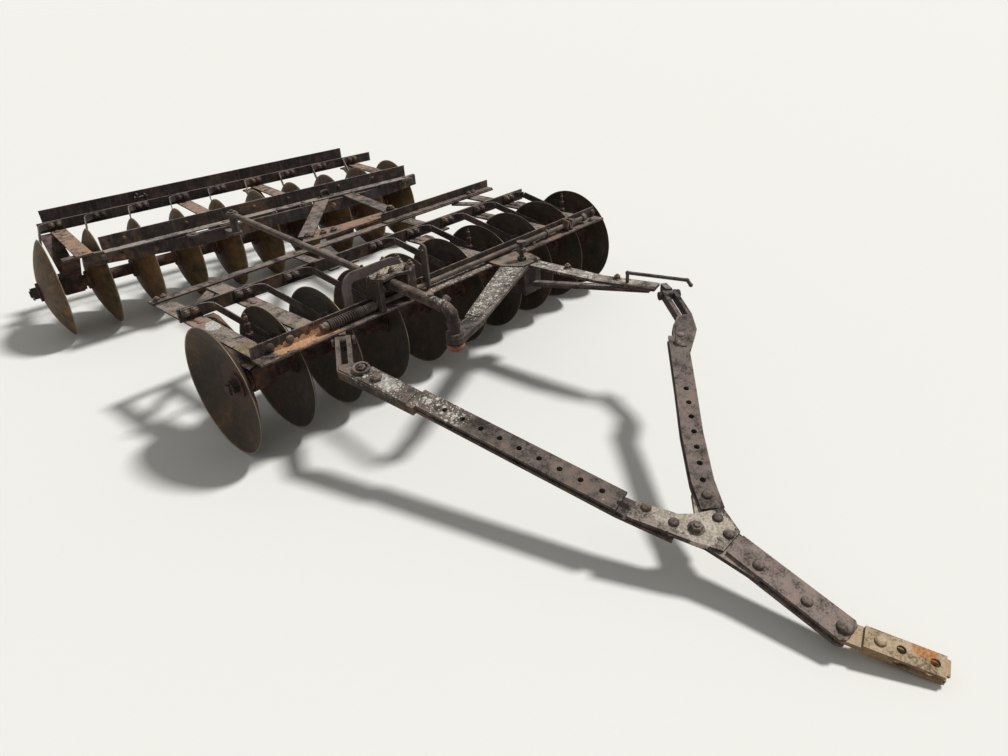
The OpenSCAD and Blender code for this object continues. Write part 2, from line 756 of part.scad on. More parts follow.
module rear_scrapers() color(dark_steel) on_rear()
    for (i = [0 : disc_count - 2]) translate([i * disc_pitch, 0, 0]) mirror([1, 0, 0]) scraper(rear_deck);

// Bracket on the beam with the upright pin that the control rod's eye hangs on
module rear_rod_bracket() color(steel) on_rear() {
    plate = [424, 436];
    low = rod_z - eye_t / 2 - side_gap;
    high = rod_z + eye_t / 2 + side_gap;
    half = 30;
    box([eye_u - half, eye_u + half], [eye_v, -beam_v], plate);
    post(eye_u, eye_v, plate, 2 * half);
    post(eye_u, eye_v, [plate[0], low], 40);
    post(eye_u, eye_v, [low - 6, low], 56);
    post(eye_u, eye_v, [low - 1, high + 16], eye_pin_d);
    post(eye_u, eye_v, [high, high + 7], 48);
    for (u = [eye_u - half, eye_u + half - 8]) {
        translate([u, 0, 0]) rotate([90, 0, 90]) linear_extrude(8)
            polygon([[-beam_v, plate[0] - 34], [-beam_v, plate[0]], [eye_v + 6, plate[0]]]);
    }
}

// Tongue of the rear frame and the two straps from it back onto the beam, in harrow coordinates
strap_front = [895, 738];
strap_back = [1376, 1280];
strap_two_back = [1514, 1250];

module rear_straps() color(steel) from_hitch() {
    z = [rear_deck - bar_t, rear_deck];
    difference() {
        union() {
            flat_bar([strap_front, strap_back], strap_w, z);
            flat_bar([[joint_x - 4, joint_y - 22], strap_two_back], strap_w, z);
            post(joint_x, joint_y, z, joint_boss_d);
        }
        post(joint_x, joint_y, [z[0] - 1, z[1] + 1], frame_bolt_d + 2 * pin_fit);
    }
}

module rear_tongue() color("#8a6a5e") from_hitch() {
    z = [tongue_z, tongue_z + tongue_t];
    difference() {
        union() {
            slab([[845, 690], [960, 668], [joint_x, joint_y - strap_w / 2], [joint_x, joint_y + strap_w / 2],
                [1090, 775], [960, 835]], z);
            post(joint_x, joint_y, z, joint_boss_d);
        }
        post(joint_x, joint_y, [z[0] - 1, z[1] + 1], frame_bolt_d + 2 * pin_fit);
    }
}

// Rear gang, turned the other way round

module rear_discs() color(disc_brown) on_rear() translate([gang_l, 0, 0]) mirror([1, 0, 0]) gang_discs();

module rear_spools() color(cast_red) on_rear() rear_spool_row();

module rear_spool_row() {
    for (i = [0 : disc_count - 2]) {
        translate([(i + 1) * disc_pitch, 0, axle_z]) mirror([1, 0, 0]) spool(len(search(i, bearing_gaps)) > 0);
    }
    translate([gang_l, 0, axle_z]) mirror([1, 0, 0]) end_washer(disc_dish - spool_flange_t);
    translate([0, 0, axle_z]) mirror([1, 0, 0]) end_washer(disc_dish + disc_t);
}

module rear_arbor() color(dark_steel) on_rear() translate([gang_l, 0, 0]) mirror([1, 0, 0]) gang_arbor();

// Drawbar, drawn flat in its own sloping plane with points [s, t]

module plate_st(points, n) {
    translate([0, 0, n[0]]) linear_extrude(n[1] - n[0]) mirror([0, 1, 0]) polygon(points);
}

module peg_st(p, n, d) {
    translate([p[0], -p[1], n[0]]) cylinder(h = n[1] - n[0], d = d);
}

both_skins = [[core, skin], [-skin, -core]];

// Fork round a hinge lug, at place s along the hinge line, with prongs reaching down to t
lug_w = 24;
fork_w = 56;
fork_d = 38;
fork_l = 150;

module prongs(s, reach) {
    inner = lug_w / 2 + side_gap;
    outer = fork_w / 2;
    translate([s, 0, 0]) difference() {
        for (side = [[-outer, -inner], [inner, outer]]) {
            lying(side, fork_d);
            box(side, [-reach, 0], [-skin, skin]);
        }
        lying([-outer - 1, outer + 1], hinge_pin_d + 2 * pin_fit);
    }
}

left_row = [[307, 447], [705, 873]];
left_holes = 9;
left_end = [748, 919];
left_start = [229, 364];

function left_at(i) = left_row[0] + (left_row[1] - left_row[0]) * i / (left_holes - 1);

module drawbar_left_arm() color(steel) on_drawbar() {
    half = fork_w / 2;
    prongs(0, fork_l + 4);
    difference() {
        union() {
            plate_st([[-half, fork_l], [half, fork_l], [96, 186], [262, 364], [205, 416], [30, 236], [-half, 180]],
                [-skin, skin]);
            peg_st([56, 197], [skin, skin + 8], 62);
            plate_st(strip([[190, 322], [285, 424]], draw_w - 12), [-core, core]);
            plate_st(strip([left_start, left_end], draw_w), both_skins[0]);
            plate_st(strip([left_start, left_end, [874, 1036]], draw_w), both_skins[1]);
        }
        for (i = [0 : left_holes - 1]) peg_st(left_at(i), [-skin - 1, skin + 1], draw_hole_d);
    }
    for (i = [2.5, 5.5]) peg_st(left_at(i), [-core, core], 30);
}

right_path = [[1186, 262], [1109, 525], [1052, 712], [1006, 898], [993, 1000]];
right_holes = 7;

right_row = [[1109, 525], [1006, 898]];
function right_at(i) = right_row[0] + (right_row[1] - right_row[0]) * i / (right_holes - 1);

module drawbar_right_arm() color(steel) on_drawbar() {
    half = fork_w / 2;
    prongs(hinge_l, fork_l + 4);
    difference() {
        union() {
            plate_st([[hinge_l - half, fork_l], [hinge_l + half, fork_l], [hinge_l + 10, 240], [hinge_l - 55, 340],
                [hinge_l - 110, 320], [hinge_l - 66, 200]], [-skin, skin]);
            for (n = both_skins) plate_st(strip(right_path, draw_w - 8), n);
        }
        for (i = [0 : right_holes - 1]) peg_st(right_at(i), [-skin - 1, skin + 1], draw_hole_d);
    }
    for (i = [1.5, 4.5]) peg_st(right_at(i), [-core, core], 30);
}

// Core plate between the bars where the arms meet, with its cap on top
module drawbar_gusset() color("#8c8070") on_drawbar() {
    plate_st([[800, 925], [870, 985], [940, 1000], [960, 930], [1028, 945], [1018, 1060], [1090, 1200],
        [1020, 1240], [925, 1110], [770, 985]], [-core, core]);
    plate_st([[788, 934], [850, 968], [905, 1008], [955, 1006], [1022, 1004], [1034, 1090], [962, 1138],
        [895, 1092], [742, 972]], [core, skin]);
}

// Bar from a point to the swivel, with its corners cut off round the bolt
tongue_end = 20;
tongue_chamfer = 12;

function tongue_outline(start) = let(
    path = [start, swivel],
    way = leg(path, 0),
    side = leg_side(path, 0) * draw_w / 2,
    tip = swivel + way * tongue_end,
    shy = way * tongue_chamfer,
    in = leg_side(path, 0) * tongue_chamfer
) [start + side, tip - shy + side, tip + side - in, tip - side + in, tip - shy - side, start - side];

module drawbar_tongue() color(steel) on_drawbar() difference() {
    union() {
        plate_st(tongue_outline([1003, 1122]), both_skins[0]);
        plate_st(tongue_outline([990, 1103]), both_skins[1]);
        peg_st([1105, 1326], [-core, core], 30);
        peg_st(swivel, [-skin, skin], hitch_pin_d);
    }
    plate_st([[850, 960], [1034, 990], [1034, 1090], [962, 1138], [895, 1092]], [core - 1, skin + 1]);
}

// Hitch clevis: a root plate that swivels between the tongue's bars, and two cheeks for the pin
module hitch_clevis() color(rust_tan) on_drawbar() translate([swivel[0], -swivel[1], 0]) rotate([0, 0, -hitch_turn]) {
    root_end = 120;
    cheek_start = draw_w / 2 + 8;
    half = clevis_w / 2;
    difference() {
        union() {
            translate([0, 0, -core + side_gap]) cylinder(h = draw_gap - 2 * side_gap, d = clevis_w);
            box([0, root_end], [-half, half], [-core + side_gap, core - side_gap]);
            for (n = [[core - side_gap, cheek], [-cheek, -core + side_gap]]) {
                box([cheek_start, clevis_r - clevis_chamfer], [-half, half], n);
                box([cheek_start, clevis_r], [clevis_chamfer - half, half - clevis_chamfer], n);
            }
        }
        translate([0, 0, -skin]) cylinder(h = 2 * skin, d = hitch_pin_d + 2 * pin_fit);
        translate([hitch_r, 0, -skin]) cylinder(h = 2 * skin, d = hitch_pin_d + 1);
        translate([130, 0, -skin]) cylinder(h = 2 * skin, d = hitch_pin_d + 1);
    }
}

front_rail();
front_scraper_bar();
front_back_strip();
front_back_angle();
front_cross_bars();
front_braces();
front_hangers();
front_bearings();
front_scrapers();
frame_hinge_strap();
latch_casting();
latch_plate();
guide_loop();
trip_pipe();
trip_spring();
trip_link();
crank_bracket();
crank_left_arm();
crank_right_arm();
crank_rod_loop();
drawbar_lug();
front_discs();
front_spools();
front_arbor();
control_barrel();
control_rod();
rear_front_rail();
rear_bow_beam();
rear_scraper_bar();
rear_back_angle();
rear_cross_bars();
rear_hangers();
rear_bearings();
rear_scrapers();
rear_rod_bracket();
rear_straps();
rear_tongue();
rear_discs();
rear_spools();
rear_arbor();
drawbar_left_arm();
drawbar_right_arm();
drawbar_gusset();
drawbar_tongue();
hitch_clevis();
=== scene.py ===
# %% [markdown]
# A weathered offset disc harrow, dressed for a picture.
# The imported part brings every bar, disc, pin and bracket in its place. This file gives them rust, dust
# and lichen, with painted sunlight, highlights and shade in their colours, and adds what is too small for the
# part: rivets, bolts, nuts, a real coil spring and clips.

import math

import bpy
import numpy as np
from mathutils import Matrix, Vector


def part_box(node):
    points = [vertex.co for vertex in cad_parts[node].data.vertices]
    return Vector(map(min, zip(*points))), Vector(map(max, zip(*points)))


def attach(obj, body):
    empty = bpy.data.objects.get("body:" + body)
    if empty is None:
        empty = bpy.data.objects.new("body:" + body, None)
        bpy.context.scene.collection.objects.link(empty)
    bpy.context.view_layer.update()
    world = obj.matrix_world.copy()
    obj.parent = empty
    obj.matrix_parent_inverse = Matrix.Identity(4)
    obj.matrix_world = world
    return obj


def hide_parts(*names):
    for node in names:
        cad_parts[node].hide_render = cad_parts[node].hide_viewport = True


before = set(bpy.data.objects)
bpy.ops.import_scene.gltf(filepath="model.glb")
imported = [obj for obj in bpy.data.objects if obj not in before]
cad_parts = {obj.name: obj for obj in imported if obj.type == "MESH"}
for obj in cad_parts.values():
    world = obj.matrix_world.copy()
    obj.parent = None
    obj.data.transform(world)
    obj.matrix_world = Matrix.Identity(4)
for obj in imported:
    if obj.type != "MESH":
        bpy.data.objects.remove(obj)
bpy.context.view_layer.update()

# %% [markdown]
# A harrow is measured bar by bar, so every place below is written in one of three simple frames, in
# millimetres: the harrow's own (x along the front gang, y backwards, z up from the ground), the rear
# frame's (u, v, z) and the sloping plane of the drawbar (s along its hinge line, t down towards the hitch,
# n square to the plane). One function turns them into the part's metres.

# %% Frames of reference
MM = 0.001
HINGE_A = np.array([370.0, -285.0, 398.0])
HINGE_B = np.array([1395.0, -1015.0, 398.0])
SWIVEL = np.array([1160.0, 1408.0])
HITCH_TURN = math.radians(38)
CLEVIS_WAY = np.array([math.cos(HITCH_TURN), math.sin(HITCH_TURN)])
CLEVIS_LENGTH, CLEVIS_HALF_WIDTH, CLEVIS_TOP, HITCH_AT = 230, 30, 17, 205
low_t = SWIVEL[1] + CLEVIS_LENGTH * CLEVIS_WAY[1] + CLEVIS_HALF_WIDTH * CLEVIS_WAY[0]
TILT = math.asin(HINGE_A[2] / math.hypot(low_t, CLEVIS_TOP)) - math.atan(CLEVIS_TOP / low_t)
ALONG = (HINGE_B - HINGE_A) / np.linalg.norm(HINGE_B - HINGE_A)
DOWN = np.array([ALONG[1] * math.cos(TILT), -ALONG[0] * math.cos(TILT), -math.sin(TILT)])
SQUARE = np.cross(DOWN, ALONG)
HITCH_ST = SWIVEL + HITCH_AT * CLEVIS_WAY
HITCH = HINGE_A + HITCH_ST[0] * ALONG + HITCH_ST[1] * DOWN
REAR_TURN = math.radians(-7)
REAR_AXES = np.array([
    [math.cos(REAR_TURN), math.sin(REAR_TURN), 0.0],
    [-math.sin(REAR_TURN), math.cos(REAR_TURN), 0.0],
    [0.0, 0.0, 1.0],
])
REAR_START = np.array([2.0, 1741.0, 0.0])
PITCH, AXLE_Z = 228.6, 254.0
DECK_TOP, CRANK_TOP, STRIP_TOP, ANGLE_TOP = 424, 430, 432, 438
TOP = 18.0
HARROW = (np.eye(3), -HITCH)
REAR = (REAR_AXES, REAR_START - HITCH)
DRAWBAR = (np.array([ALONG, DOWN, SQUARE]), HINGE_A - HITCH)
print("hitch at", HITCH.round(2), "tilt", round(math.degrees(TILT), 3))


def to_part(points, place):
    """Part point in metres = (a * first axis + b * second axis + c * third axis + start) / 1000."""
    axes, start = place
    return (np.asarray(points, float) @ axes + start) * MM


# %% [markdown]
# A rivet head is upset in a round die, so here it is a profile turned round an axis: a lathe. With six sides
# the same lathe makes a nut, and a profile closed on itself makes a ring. The Screw modifier could do it too,
# but a grid of points has a formula and is closed by its last two points.

# %% Rings and lathes
def ring_quads(rings, sides):
    """Quad (k, j) joins points j and j + 1 of ring k with those of ring k + 1, round and round."""
    k, j = np.meshgrid(np.arange(rings - 1), np.arange(sides), indexing="ij")
    n = (j + 1) % sides
    low, high = k * sides, (k + 1) * sides
    return np.stack([low + j, low + n, high + n, high + j], -1).reshape(-1, 4)


def closed_rings(rings, first, last):
    """Stacked rings with one point below the first and one above the last, joined by fans."""
    count, sides = rings.shape[:2]
    points = np.concatenate([rings.reshape(-1, 3), [first], [last]])
    j = np.arange(sides)
    n = (j + 1) % sides
    low = np.stack([np.full(sides, count * sides), n, j], -1)
    base = (count - 1) * sides
    high = np.stack([np.full(sides, count * sides + 1), base + j, base + n], -1)
    return points, [ring_quads(count, sides), low, high]


def lathe(profile, sides=20):
    """Point (k, j) = (r_k cos a_j, r_k sin a_j, h_k); the first and last h close the ends on the axis."""
    profile = np.asarray(profile, float)
    angle = np.arange(sides) * 2 * np.pi / sides
    r, h = profile[:, :1], profile[:, 1:]
    rings = np.stack([r * np.cos(angle), r * np.sin(angle), h + 0 * angle], -1)
    return closed_rings(rings, [0, 0, profile[0, 1]], [0, 0, profile[-1, 1]])


def ring(inner, outer, height, sides=24):
    """A flat ring: a rectangle with small chamfers turned round the axis, closed on itself."""
    c = min(1.5, height / 4)
    profile = np.array([[inner, 0], [outer, 0], [outer, height - c], [outer - c, height],
                        [inner + c, height], [inner, height - c]])
    angle = np.arange(sides) * 2 * np.pi / sides
    points = np.stack([profile[:, :1] * np.cos(angle), profile[:, :1] * np.sin(angle),
                       profile[:, 1:] + 0 * angle], -1)
    return points.reshape(-1, 3), [ring_quads(len(profile) + 1, sides) % (len(profile) * sides)]


print("a blank for a nut has", len(lathe([[1, 0], [1, 1]], 6)[0]), "points")


# %% [markdown]
# A spring, a split pin or a hook is wire or bar bent round a former. A curve object with a round bevel would
# do, but it has to be made a mesh afterwards. Here a ring of points is carried along the path as one array,
# and a smooth curve through a few points gives the path.

# %% Tubes along a path
def tube(path, radius, sides=10, about=(0.31, 0.52, 0.79)):
    """Ring k = p_k + r (cos a * side_k + sin a * other_k), with both directions square to the path."""
    path = np.asarray(path, float)
    way = np.gradient(path, axis=0)
    way /= np.linalg.norm(way, axis=1, keepdims=True)
    side = np.cross(way, about)
    side /= np.linalg.norm(side, axis=1, keepdims=True)
    other = np.cross(way, side)
    angle = (np.arange(sides) * 2 * np.pi / sides)[:, None]
    rings = path[:, None] + radius * (np.cos(angle) * side[:, None] + np.sin(angle) * other[:, None])
    return closed_rings(rings, path[0], path[-1])


def smooth_path(points, steps=8):
    """Catmull-Rom curve through the points, steps places to each stretch."""
    p = np.asarray(points, float)
    p = np.concatenate([[2 * p[0] - p[1]], p, [2 * p[-1] - p[-2]]])
    t = np.linspace(0, 1, steps, endpoint=False)[:, None]
    parts = [0.5 * (2 * b + (c - a) * t + (2 * a - 5 * b + 4 * c - d) * t**2
                    + (3 * b - a - 3 * c + d) * t**3)
             for a, b, c, d in zip(p[:-3], p[1:-2], p[2:-1], p[3:])]
    return np.concatenate(parts + [p[-2:-1]])


print("a wire bent through three points has", len(smooth_path([(0, 0), (1, 1), (2, 0)])), "rings")


# %% [markdown]
# Plates and flats are sheared from bar, and their edges wear off. A filled curve with a Bevel modifier gives
# that. An outline at four heights, shrunk at the first and the last of them, gives the same chamfers with
# no modifier at all.

# %% Flat plates
def plate(outline, low, high, chamfer=1.5):
    """A flat plate: the outline at two heights between two outlines shrunk by the chamfer."""
    p = np.asarray(outline, float)
    area = np.sum(p[:, 0] * np.roll(p[:, 1], -1) - np.roll(p[:, 0], -1) * p[:, 1])
    p = p if area > 0 else p[::-1]
    edge = np.roll(p, -1, 0) - p
    edge /= np.linalg.norm(edge, axis=1, keepdims=True)
    out = np.stack([edge[:, 1], -edge[:, 0]], -1)
    before = np.roll(out, 1, 0)
    shrink = (out + before) / (1 + np.sum(out * before, 1, keepdims=True))
    levels = [(low, chamfer), (low + chamfer, 0), (high - chamfer, 0), (high, chamfer)]
    rings = np.stack([np.column_stack([p - shrink * c, np.full(len(p), z)]) for z, c in levels])
    middle = p.mean(0)
    return closed_rings(rings, [*middle, low], [*middle, high])


print("a square plate has", len(plate([(0, 0), (9, 0), (9, 9), (0, 9)], 0, 4)[0]), "points")


# %% [markdown]
# A fastener is drawn once, standing on the origin, and then set in many places. Linked copies of an object
# would do, but each would be a piece of its own. Arrays of points are turned, moved and joined in one step,
# and a whole row of bolts becomes one mesh.

# %% Shapes set in place
def join(shapes):
    """One shape of several: the points in a row, the faces counted on from the points before."""
    points, faces, count = [], [], 0
    for p, groups in shapes:
        points.append(p)
        faces += [g + count for g in groups]
        count += len(p)
    return np.concatenate(points), faces


def stand(shape, at, axis=(0, 0, 1), turn=0.0):
    """The shape's own z turned onto axis, after a turn about z, and its foot moved to a place."""
    z = np.asarray(axis, float) / np.linalg.norm(axis)
    x = np.cross((0, 1, 0) if abs(z[1]) < 0.9 else (1, 0, 0), z)
    x /= np.linalg.norm(x)
    y = np.cross(z, x)
    c, s = math.cos(turn), math.sin(turn)
    points, faces = shape
    return points @ np.array([c * x + s * y, c * y - s * x, z]) + np.asarray(at, float), faces


# %% [markdown]
# The fasteners of an old implement are of a few kinds: round-headed rivets and carriage bolts, and nuts on
# washers with a bit of thread standing out. Each kind is a function of its size, and a row of them gets a
# different turn for each, because nobody lines up nuts.

# %% Fasteners
WASHER_H = 2.8


def dome(d, h, sides=20):
    """Rivet head: radius d/2 cos a and height h sin a, from the rim to the top."""
    a = np.linspace(0, np.pi / 2, 6)[:-1]
    profile = np.column_stack([d / 2 * np.cos(a), h * np.sin(a)])
    return lathe(np.vstack([profile, [[0.6, h]]]), sides)


def nut(d, h, sides=6):
    """Nut or bolt head: a prism with its upper corners turned off."""
    return lathe([[d / 2, 0], [d / 2, 0.78 * h], [0.84 * d / 2, h]], sides)


def thread(d, h):
    """A bit of thread: short rings that go in and out, ending in a small chamfer."""
    z = np.linspace(0, h, 9)
    r = d / 2 - 0.5 * (np.arange(9) % 2)
    r[-1] = d / 2 - 1.6
    return lathe(np.column_stack([r, z]), 12)


def bolt(d, h, reach=9, sides=6):
    """Nut on a washer, with the thread standing out of it."""
    washer = lathe([[0.64 * d, 0], [0.64 * d, 2], [0.6 * d, WASHER_H]], 20)
    return join([washer, stand(nut(d, h, sides), (0, 0, WASHER_H)),
                 stand(thread(0.5 * d, reach), (0, 0, h + WASHER_H))])


def rows(shape, places, axis, seed=0):
    """The shape at each place, each with its own turn."""
    turns = np.random.default_rng(seed).uniform(0, 6.28, len(places))
    return join([stand(shape, p, axis, t) for p, t in zip(places, turns)])


print("a bolt has", len(bolt(27, 10)[0]), "points and a rivet head", len(dome(34, 11)[0]))


# %% [markdown]
# Rust, dust and painted light are mixed by amounts that are sums of noises. Wired by hand, each sum is a chain
# of Math nodes. Here a Value wraps a socket, and +, - or * adds the node, so a formula reads as one line of
# Python.

# %% Values
class Value:
    """The output socket of a node, used like a number."""

    def __init__(self, graph, socket):
        self.graph, self.socket = graph, socket

    def math(self, operation, a, b):
        """A Math node of two values or numbers."""
        return self.graph.node("ShaderNodeMath", {"operation": operation}, {0: a, 1: b})

    def __add__(self, other):
        return self.math("ADD", self, other)

    def __sub__(self, other):
        return self.math("SUBTRACT", self, other)

    def __rsub__(self, other):
        return self.math("SUBTRACT", other, self)

    def __mul__(self, other):
        return self.math("MULTIPLY", self, other)

    __radd__, __rmul__ = __add__, __mul__

    def most(self, other):
        """The larger of the two."""
        return self.math("MAXIMUM", self, other)

    def ramp(self, low, high):
        """0 below low, 1 above high, a smooth step between."""
        return self.graph.node("ShaderNodeMapRange", {"interpolation_type": "SMOOTHSTEP"},
                               {"Value": self, "From Min": low, "From Max": high})


# %% [markdown]
# A Graph is the node tree of a material or a world while it is built. One method adds any node: its settings
# go first, because they decide which sockets it has, and then come numbers and links.

# %% Graphs
class Graph:
    """The node tree of a material or world, emptied and built anew."""

    def __init__(self, owner):
        owner.use_nodes = True
        self.tree = owner.node_tree
        self.tree.nodes.clear()

    def node(self, kind, settings=None, inputs=None, output=0):
        """Adds a node: first its settings, then the values or links of its sockets."""
        made = self.tree.nodes.new(kind)
        for key, value in (settings or {}).items():
            setattr(made, key, value)
        for key, value in (inputs or {}).items():
            if isinstance(value, Value):
                self.tree.links.new(value.socket, made.inputs[key])
            else:
                made.inputs[key].default_value = value
        return Value(self, made.outputs[output]) if len(made.outputs) else None


# %% [markdown]
# A Finish is the graph of a material. Everything on this harrow is dull, mottled and a little rough, so the
# noises, the mixing of colours and the dull surface at the end are its methods. The pattern is fixed to the
# object's own coordinates, so it rides along when a gang turns.

# %% Finishes
DULL = 0.2


class Finish(Graph):
    """A material's graph, with the nodes that the finishes below share."""

    def __init__(self, name):
        self.material = bpy.data.materials.new(name)
        super().__init__(self.material)
        self.place = self.node("ShaderNodeTexCoord", output="Object")
        normal = self.node("ShaderNodeTexCoord", output="Normal")
        self.up = self.node("ShaderNodeSeparateXYZ", {}, {0: normal}, output="Z")

    def noise(self, scale, detail=4.0, rough=0.55, place=None):
        """Soft mottles, scale of them to a metre."""
        return self.node("ShaderNodeTexNoise", {}, {"Vector": place or self.place, "Scale": scale,
                                                    "Detail": detail, "Roughness": rough})

    def cells(self, scale):
        """Distance to the nearest of scattered points, scale of them to a metre."""
        return self.node("ShaderNodeTexVoronoi", {}, {"Vector": self.place, "Scale": scale}, "Distance")

    def mix(self, amount, a, b):
        """Colour a where the amount is 0, b where it is 1."""
        return self.node("ShaderNodeMix", {"data_type": "RGBA"},
                         {0: amount, 6: colour(a), 7: colour(b)}, output=2)

    def near(self, centre, reach, soft=0.5):
        """1 at a place, falling to 0 at the reach."""
        gap = self.node("ShaderNodeVectorMath", {"operation": "DISTANCE"},
                        {0: self.place, 1: tuple(centre)}, output="Value")
        return 1 - gap.ramp(reach * (1 - soft), reach)

    def stretched(self, scale):
        """The place with each coordinate scaled, so that a pattern there is drawn out."""
        return self.node("ShaderNodeMapping", {}, {"Vector": self.place, "Scale": scale})

    def done(self, base, rough, height, strength=0.4, distance=0.0015, metal=0.0):
        """Ends the graph in a dull surface with the height as its bump, and gives the material."""
        bump = self.node("ShaderNodeBump", {},
                         {"Strength": strength, "Distance": distance, "Height": height})
        shader = self.node("ShaderNodeBsdfPrincipled", {},
                           {"Base Color": base, "Roughness": rough, "Metallic": metal,
                            "Specular IOR Level": DULL, "Normal": bump})
        self.node("ShaderNodeOutputMaterial", {}, {"Surface": shader})
        return self.material


def colour(value):
    """A tuple of three gets its fourth number; a Value stays."""
    return value if isinstance(value, Value) else (*value, 1.0)


# %% [markdown]
# Steel that has stood outside for decades is nearly black-brown, and a pinkish grey on the faces that look
# up, partly dust and partly painted sunlight that makes the tops lighter than the sides. Fresh rust breaks
# through in orange blooms, lichen settles in pale dots on the upper faces, and edges are lighter, partly
# rubbed and partly a painted highlight. Painted maps would need unwrapping; noise in object space runs on
# from bar to bar. One recipe makes all of it, with a few numbers for each part.

# %% Weathered steel
ORANGE = (0.33, 0.145, 0.06)
LICHEN = (0.62, 0.6, 0.54)
PALE_EDGE = (0.3, 0.255, 0.225)
STREAK = (0.115, 0.085, 0.07)


def weathered(name, dark=(0.024, 0.018, 0.016), warm=(0.062, 0.043, 0.036), top=(0.25, 0.2, 0.18),
              dust_and_sunlight=0.85, rust=0.3, lichen=0.3, edge=0.55, moss=(), patches=(), rough=0.8, relief=0.0016):
    """Dark steel, warmer in mottles; dust and painted sunlight where the face looks up; rust, lichen and
    patches over it.
    """
    f = Finish(name)
    broad, mottle = f.noise(4.2, 4), f.noise(24, 6, 0.62)
    fine, pits = f.noise(150, 5, 0.68), f.noise(520, 2)
    top_face = f.up.ramp(0.35, 0.92)
    base = f.mix((mottle * 0.6 + broad * 0.3 + fine * 0.25).ramp(0.46, 0.68), dark, warm)
    streak = f.noise(9, 3, 0.5, f.stretched((6.0, 6.0, 0.9)))
    base = f.mix((streak - 0.1).ramp(0.42, 0.6) * (1 - top_face) * 0.4, base, STREAK)
    # Up-facing faces get lighter: partly settled dust, partly painted sunlight that makes tops brighter than
    # sides.
    dust_and_sunlit_top = (mottle * 0.45 + broad * 0.3 + fine * 0.5).ramp(0.5, 0.72) * top_face
    base = f.mix(dust_and_sunlit_top * dust_and_sunlight, base, top)
    bloom = (broad * 0.6 + mottle * 0.5 + fine * 0.25).ramp(0.71, 0.79)
    base = f.mix(bloom * rust, base, ORANGE)
    base = f.mix((pits * 0.5 + fine * 0.6).ramp(0.6, 0.7) * 0.6, base, dark)
    bevel = f.node("ShaderNodeBevel", {"samples": 4}, {"Radius": 0.004})
    face = f.node("ShaderNodeNewGeometry", output="Normal")
    same = f.node("ShaderNodeVectorMath", {"operation": "DOT_PRODUCT"}, {0: bevel, 1: face}, output="Value")
    # Edges are lighter: partly rubbed wear, partly a painted highlight.
    worn_and_lit_edge = (1 - same).ramp(0.015, 0.16) * (fine * 0.8 + mottle * 0.7).ramp(0.6, 0.85)
    base = f.mix(worn_and_lit_edge * edge, base, PALE_EDGE)
    for centre, reach, tint, amount in patches:
        spot = f.near(centre, reach) + (mottle - 0.5) * 1.7 + (fine - 0.5) * 1.3
        tone = f.mix(fine.ramp(0.38, 0.62), tuple(0.55 * c for c in tint), tint)
        base = f.mix(spot.ramp(0.4, 0.62) * amount, base, tone)
    density = 0.0
    for centre, reach in moss:
        density = f.near(centre, reach, 0.8).most(density)
    grown = f.noise(13, 3) * 0.55 + fine * 0.5
    dots = (1 - f.cells(105).ramp(0.16, 0.36)) * (grown + density * 0.5).ramp(0.63, 0.72)
    crusted = (f.noise(6, 3) * 0.5 + fine * 0.55 + density * 0.3).ramp(0.7, 0.8)
    crust = (1 - f.cells(42).ramp(0.14, 0.4)) * crusted
    living = dots.most(crust) * (top_face * 0.85 + 0.15) * (density * (1 - lichen) * 0.8 + lichen)
    if moss:
        sheet = (f.noise(44, 6, 0.72) + fine * 0.25 + density * 0.5).ramp(1.14, 1.2)
        living = (sheet * 0.85).most(living)
    base = f.mix(living, base, LICHEN)
    gloss = rough + (fine - 0.5) * 0.3 - worn_and_lit_edge * 0.15
    height = mottle * 0.5 + fine * 0.6 + pits * 0.35 + living * 0.8 + bloom * rust * 0.3
    return f.done(base, gloss, height, 0.55, relief)


def dress(material, *nodes):
    """Gives a CAD node the material in each of its slots."""
    for node in nodes:
        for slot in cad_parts[node].material_slots:
            slot.material = material
    print(material.name, "on", ", ".join(nodes))


# %% [markdown]
# The bars of both frames are rolled flats and angles of the same steel, but they weathered differently: the
# front rail has a strip of bare orange rust along its root, the left cross-bar a pale bare patch, and the
# rear cross-bars are more orange than the rest. Patches and lichen are placed by points on the bars.

# %% Frames and bars
def patches_at(place, points, reach, tint, amount):
    """Patches of one tint, each as (centre, reach, tint, amount)."""
    return [(tuple(p), reach, tint, amount) for p in to_part(points, place)]


def moss_at(place, points, reach):
    """Places where lichen is thick, each as (centre, reach)."""
    return [(tuple(p), reach) for p in to_part(points, place)]


BARE_RUST, BARE_STEEL, DULL_RUST = (0.62, 0.36, 0.2), (0.6, 0.59, 0.56), (0.3, 0.22, 0.12)
rail_rust = patches_at(HARROW, [(x, -232, STRIP_TOP) for x in range(150, 370, 36)], 0.036, BARE_RUST, 0.85)
rail_moss = moss_at(HARROW, [(x, -250, 431) for x in range(760, 1300, 60)], 0.075)
dress(weathered("front_rail_finish", rust=0.35, lichen=0.5, moss=rail_moss, patches=rail_rust),
      "front_rail")
dress(weathered("frame_strap_finish", rust=0.25, lichen=0.45, top=(0.3, 0.25, 0.225)),
      "front_back_strip", "front_braces", "frame_hinge_strap", "rear_straps")
dark_finish = weathered("dark_bar_finish", dark=(0.02, 0.016, 0.015), warm=(0.05, 0.037, 0.033),
                        rust=0.14, lichen=0.5)
dress(dark_finish, "front_scraper_bar", "front_back_angle", "rear_bow_beam", "rear_scraper_bar")
dress(weathered("rear_angle_finish", dark=(0.02, 0.016, 0.015), warm=(0.055, 0.042, 0.038),
                top=(0.42, 0.38, 0.35), dust_and_sunlight=0.95, rust=0.12, lichen=1.0),
      "rear_front_rail", "rear_back_angle")
dress(weathered("hanger_finish", dust_and_sunlight=0.5, rust=0.3, lichen=0.15, warm=(0.09, 0.05, 0.04)),
      "front_hangers", "rear_hangers")
